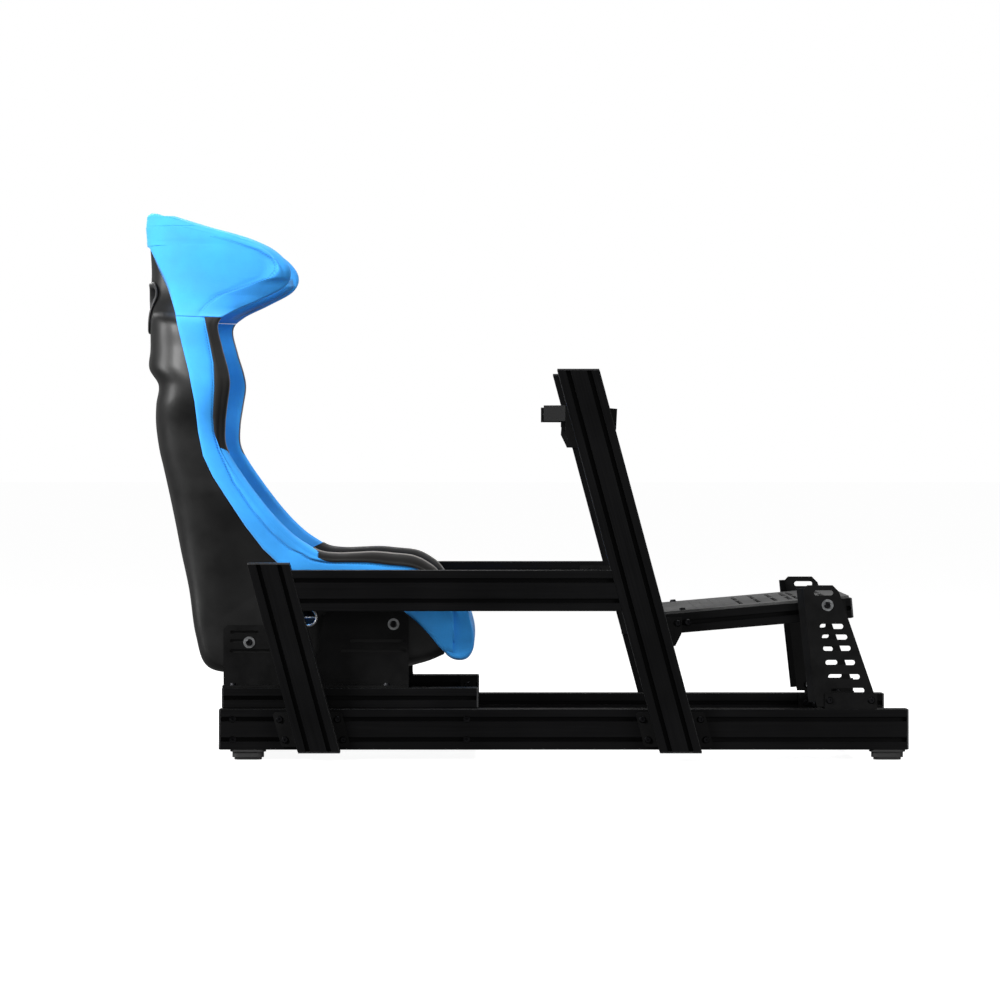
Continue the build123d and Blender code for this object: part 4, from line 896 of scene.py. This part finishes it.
def heights(line, x):
    line = np.asarray(line)
    return through(line[:, 0], line[:, 1:], x)[:, 0]


def seat_cushion():
    """Loose seat pad with a dished top, higher under the knees."""
    a = sewn(61, 1.2)
    x = CUSHION_MIDDLE + CUSHION_REACH * sewn(71, 1.2)
    top, base = heights(CUSHION_TOP, x), heights(CUSHION_BASE, x)
    outer, inner = [], []
    for k, v in enumerate((x - CUSHION_MIDDLE) / CUSHION_REACH):
        rise = dome(a, v, 8)
        middle = base[k] + 0.45 * (top[k] - base[k])
        crown = 0.006 * (1 - a ** 2) * (1 - v ** 2)
        sag = 0.010 * (1 - np.abs(a) ** 4)
        place = [np.full(len(a), x[k]), CUSHION_HALF * a]
        outer.append(np.stack([*place, middle + (top[k] + 0.004 - sag + crown - middle) * rise], 1))
        inner.append(np.stack([*place, middle + (base[k] - middle) * rise], 1))
    return slab("seat_pad", np.array(outer), np.array(inner), [BLUE])


VOXEL = 0.005
PRESSURE = 4.0
CLOTH_FRAMES = 20


def inflate(obj, base_points, cap):
    """Swells a pad as sewn cloth under pressure, held flat on the side that rests on base_points."""
    remesh = obj.modifiers.new("remesh", "REMESH")
    remesh.mode = "VOXEL"
    remesh.voxel_size = VOXEL
    bake(obj)
    before = points_of(obj.data)
    cloth = obj.modifiers.new("cloth", "CLOTH")
    cloth.settings.quality = 6
    cloth.settings.use_pressure = True
    cloth.settings.uniform_pressure_force = PRESSURE
    cloth.settings.effector_weights.gravity = 0.0
    cloth.point_cache.frame_start = 1
    cloth.point_cache.frame_end = CLOTH_FRAMES
    for number in range(1, CLOTH_FRAMES + 1):
        bpy.context.scene.frame_set(number)
    view = bpy.context.evaluated_depsgraph_get()
    swollen = points_of(obj.evaluated_get(view).data)
    obj.modifiers.clear()
    bpy.context.scene.frame_set(1)
    move = swollen - before
    length = np.linalg.norm(move, axis=1)
    move *= (np.minimum(length, cap) / np.maximum(length, 1e-9))[:, None]
    tree = kdtree.KDTree(len(base_points))
    for k, point in enumerate(base_points):
        tree.insert(point, k)
    tree.balance()
    away = np.array([tree.find(point)[2] for point in before])
    move *= smooth_step(away, 0.004, 0.016)[:, None]
    obj.data.vertices.foreach_set("co", (before + move).ravel())


def finish_pad(obj, groove, materials, pick):
    """Smooths a remeshed pad, presses its sewn channels in and colours its panels."""
    obj.data.materials.clear()
    for material in materials:
        obj.data.materials.append(material)
    smooth = obj.modifiers.new("smooth", "SMOOTH")
    smooth.factor = 0.5
    smooth.iterations = 4
    finer = obj.modifiers.new("finer", "SUBSURF")
    finer.levels = 1
    bake(obj)
    points = points_of(obj.data)
    points += groove(points)
    obj.data.vertices.foreach_set("co", points.ravel())
    centres = np.empty(len(obj.data.polygons) * 3)
    obj.data.polygons.foreach_get("center", centres)
    obj.data.polygons.foreach_set("material_index", pick(centres.reshape(-1, 3)).astype(int))
    obj.data.polygons.foreach_set("use_smooth", [True] * len(obj.data.polygons))
    obj.data.update()


CUSHION_CHANNELS = (-0.545, -0.485, -0.425, -0.365, -0.305, -0.245)
PANEL_HALF = 0.118
CHANNEL_DEPTH, SEAM_DEPTH, GROOVE_WIDTH = 0.0050, 0.0060, 0.0055
STITCH_OFFSET = 0.009  # from a pad's lengthwise seam to the row of stitches beside it


def valley(distance, depth, width=GROOVE_WIDTH):
    return depth * np.exp(-(distance / width) ** 2)


def cushion_groove(points):
    """Cross channels between two lengthwise seams, on the top of the seat pad."""
    x, y, z = points.T
    on_top = smooth_step(z, heights(CUSHION_BASE, x) + 0.03, heights(CUSHION_BASE, x) + 0.05)
    inside = smooth_step(-np.abs(y), -PANEL_HALF - 0.002, -PANEL_HALF + 0.006)
    depth = np.zeros(len(x))
    for channel in CUSHION_CHANNELS:
        depth = np.maximum(depth, valley(x - channel, CHANNEL_DEPTH) * inside)
    along = smooth_step(-np.abs(x - CUSHION_MIDDLE), -0.222, -0.202)
    depth = np.maximum(depth, valley(np.abs(y) - PANEL_HALF, SEAM_DEPTH) * along)
    move = np.zeros_like(points)
    move[:, 2] = -depth * on_top
    return move


BACK_CHANNELS = (0.350, 0.405, 0.460, 0.515, 0.570, 0.625, 0.680)
BACK_PANEL_HALF = 0.108


def back_groove(points):
    """Cross channels between two lengthwise seams, on the face of the back pad."""
    x, y, z = points.T
    face = shell_line(z) + 0.020
    in_front = smooth_step(x - face, 0.0, 0.006)
    inside = smooth_step(-np.abs(y), -BACK_PANEL_HALF - 0.002, -BACK_PANEL_HALF + 0.006)
    depth = np.zeros(len(x))
    for channel in BACK_CHANNELS:
        depth = np.maximum(depth, valley(z - channel, CHANNEL_DEPTH) * inside)
    depth = np.maximum(depth, valley(np.abs(y) - BACK_PANEL_HALF, SEAM_DEPTH))
    move = np.zeros_like(points)
    move[:, 0] = -depth * in_front
    return move


def shell_line(z):
    """X of the shell's back on the centre plane at a height."""
    return np.interp(-z, -SECTIONS[:22, 1], SECTIONS[:22, 0])


def no_groove(points):
    return np.zeros_like(points)


def pad_rows(node):
    """Rows of stitches on a pad, as rays that meet its face beside its lengthwise seams."""
    rows = []
    for number, side in enumerate((1, -1)):
        if node == "seat_cushion":
            y = side * (PANEL_HALF + STITCH_OFFSET)
            path = [((x, y, 0.5), (0, 0, -1)) for x in np.linspace(-0.580, -0.180, 90)]
            rows.append((f"seat_pad_stitches_{number}", path))
        elif node == "back_cushion":
            y = side * (BACK_PANEL_HALF + STITCH_OFFSET)
            path = [((-0.3, y, z), (-1, 0, 0)) for z in np.linspace(0.345, 0.760, 100)]
            rows.append((f"back_pad_stitches_{number}", path))
    return rows


for build, node, thickness, groove, pick in (
        (seat_cushion, "seat_cushion", 0.006, cushion_groove, lambda c: np.abs(c[:, 1]) < PANEL_HALF),
        (back_cushion, "back_cushion", 0.006, back_groove, lambda c: np.abs(c[:, 1]) < BACK_PANEL_HALF),
        (headrest, "headrest_cushion", 0.004, no_groove, lambda c: np.ones(len(c)))):
    pad = build()
    rest = np.array([vertex.co for vertex in pad.data.vertices])
    inflate(pad, rest[len(rest) // 2:], thickness)
    finish_pad(pad, groove, [BLUE, BLACK_KNIT], pick)
    seat_piece(pad, "blue_fabric", node)
    skin = BVHTree.FromObject(pad, bpy.context.evaluated_depsgraph_get())
    for label, path in pad_rows(node):
        hits = [skin.ray_cast(Vector(start), Vector(way))[0] for start, way in path]
        seat_piece(stitches(label, [hit for hit in hits if hit], GREY_THREAD), "black_fabric")

ROLL_HALF = 0.2072


def front_roll():
    """Padded front edge of the seat: one form across the seat with rounded ends that meet the side covers."""
    rings = []
    for v in np.sin(np.linspace(-1, 1, 97) * pi / 2):
        y = ROLL_HALF * v
        top = 0.300 + 0.028 * smooth_step(abs(y), 0.125, 0.192)
        shape = np.array([
            (-0.149, 0.208), (-0.141, 0.1975), (-0.126, 0.1915), (-0.109, 0.193), (-0.098, 0.203),
            (-0.0915, 0.222), (-0.0925, 0.250), (-0.100, 0.280), (-0.108, top - 0.008), (-0.122, top),
            (-0.138, top - 0.002), (-0.148, top - 0.014), (-0.151, 0.262), (-0.147, 0.230)])
        keys = np.arange(len(shape) + 5) - 2.0
        around = np.vstack([shape[-2:], shape, shape[:3]])
        loop = through(keys, around, np.linspace(0, len(shape), 72, endpoint=False))
        middle = loop.mean(axis=0)
        end = smooth_step(abs(v), 0.90, 1.0)
        shrink = (1 - 0.07 * end ** 2) * (1.0 if abs(v) < 1 else 0.9)
        loop = middle + (loop - middle) * shrink
        rings.append(np.stack([loop[:, 0], np.full(len(loop), y), loop[:, 1]], 1))
    return swept("front_roll_cover", rings, [BLUE])


roll = seat_piece(front_roll(), "blue_fabric", "front_roll")

# ---- floor, light and camera ----
scene = bpy.context.scene
floor_mesh = bpy.data.meshes.new("floor")
reach = 60.0
corners = [(-reach, -reach, 0), (reach, -reach, 0), (reach, reach, 0), (-reach, reach, 0)]
floor_mesh.from_pydata(corners, [], [(0, 1, 2, 3)])
floor = bpy.data.objects.new("floor", floor_mesh)
scene.collection.objects.link(floor)
floor_material, _, floor_shader = new_material("studio_floor", FLOOR_WHITE, 0.8)
floor_shader.inputs["Emission Color"].default_value = (1, 1, 1, 1)
floor_shader.inputs["Emission Strength"].default_value = 0.93
floor_shader.inputs["Specular IOR Level"].default_value = 0.1
floor_mesh.materials.append(floor_material)
floor.visible_glossy = False
floor.visible_diffuse = False

world = bpy.data.worlds.new("studio")
scene.world = world
world.use_nodes = True
studio = world.node_tree
sky = studio.nodes["Background"]
sky.inputs["Color"].default_value = (1, 1, 1, 1)
seen = studio.nodes.new("ShaderNodeLightPath")
# The camera sees white, while the object gets only a weak even light.
studio.links.new(remap(studio, seen.outputs["Is Camera Ray"], 0.16, 1.0), sky.inputs["Strength"])
scene.view_settings.view_transform = "Standard"


def softbox(name, place, target, width, height, power):
    light = bpy.data.lights.new(name, "AREA")
    light.shape = "RECTANGLE"
    light.size, light.size_y = width, height
    light.energy = power
    lamp = bpy.data.objects.new(name, light)
    lamp.location = place
    lamp.rotation_euler = (Vector(target) - Vector(place)).to_track_quat("-Z", "Y").to_euler()
    scene.collection.objects.link(lamp)


softbox("key_light", (-3.6, -3.4, 2.9), (-0.45, 0, 0.75), 1.6, 1.6, 330)
softbox("left_light", (-4.2, -0.6, 1.4), (-0.5, 0, 0.6), 1.2, 2.4, 120)
softbox("right_light", (3.4, -3.4, 0.7), (-0.1, 0, 0.4), 1.4, 1.2, 80)
softbox("top_light", (0.0, 0.6, 3.6), (0, 0, 0.3), 2.6, 1.6, 120)
softbox("rear_light", (-1.6, 3.2, 2.4), (-0.3, 0, 0.6), 1.4, 1.6, 90)
softbox("fill_light", (1.4, -4.6, 3.4), (-0.3, 0, 0.6), 2.4, 1.6, 28)

camera_data = bpy.data.cameras.new("camera")
camera_data.lens = 155.75
camera_data.sensor_width = 36.0
camera_data.shift_x = 0.005
camera_data.shift_y = -0.057
camera = bpy.data.objects.new("camera", camera_data)
camera.location = (-0.050, -8.790, 0.6228)
camera.rotation_euler = (radians(90), 0, 0)
scene.collection.objects.link(camera)
scene.camera = camera
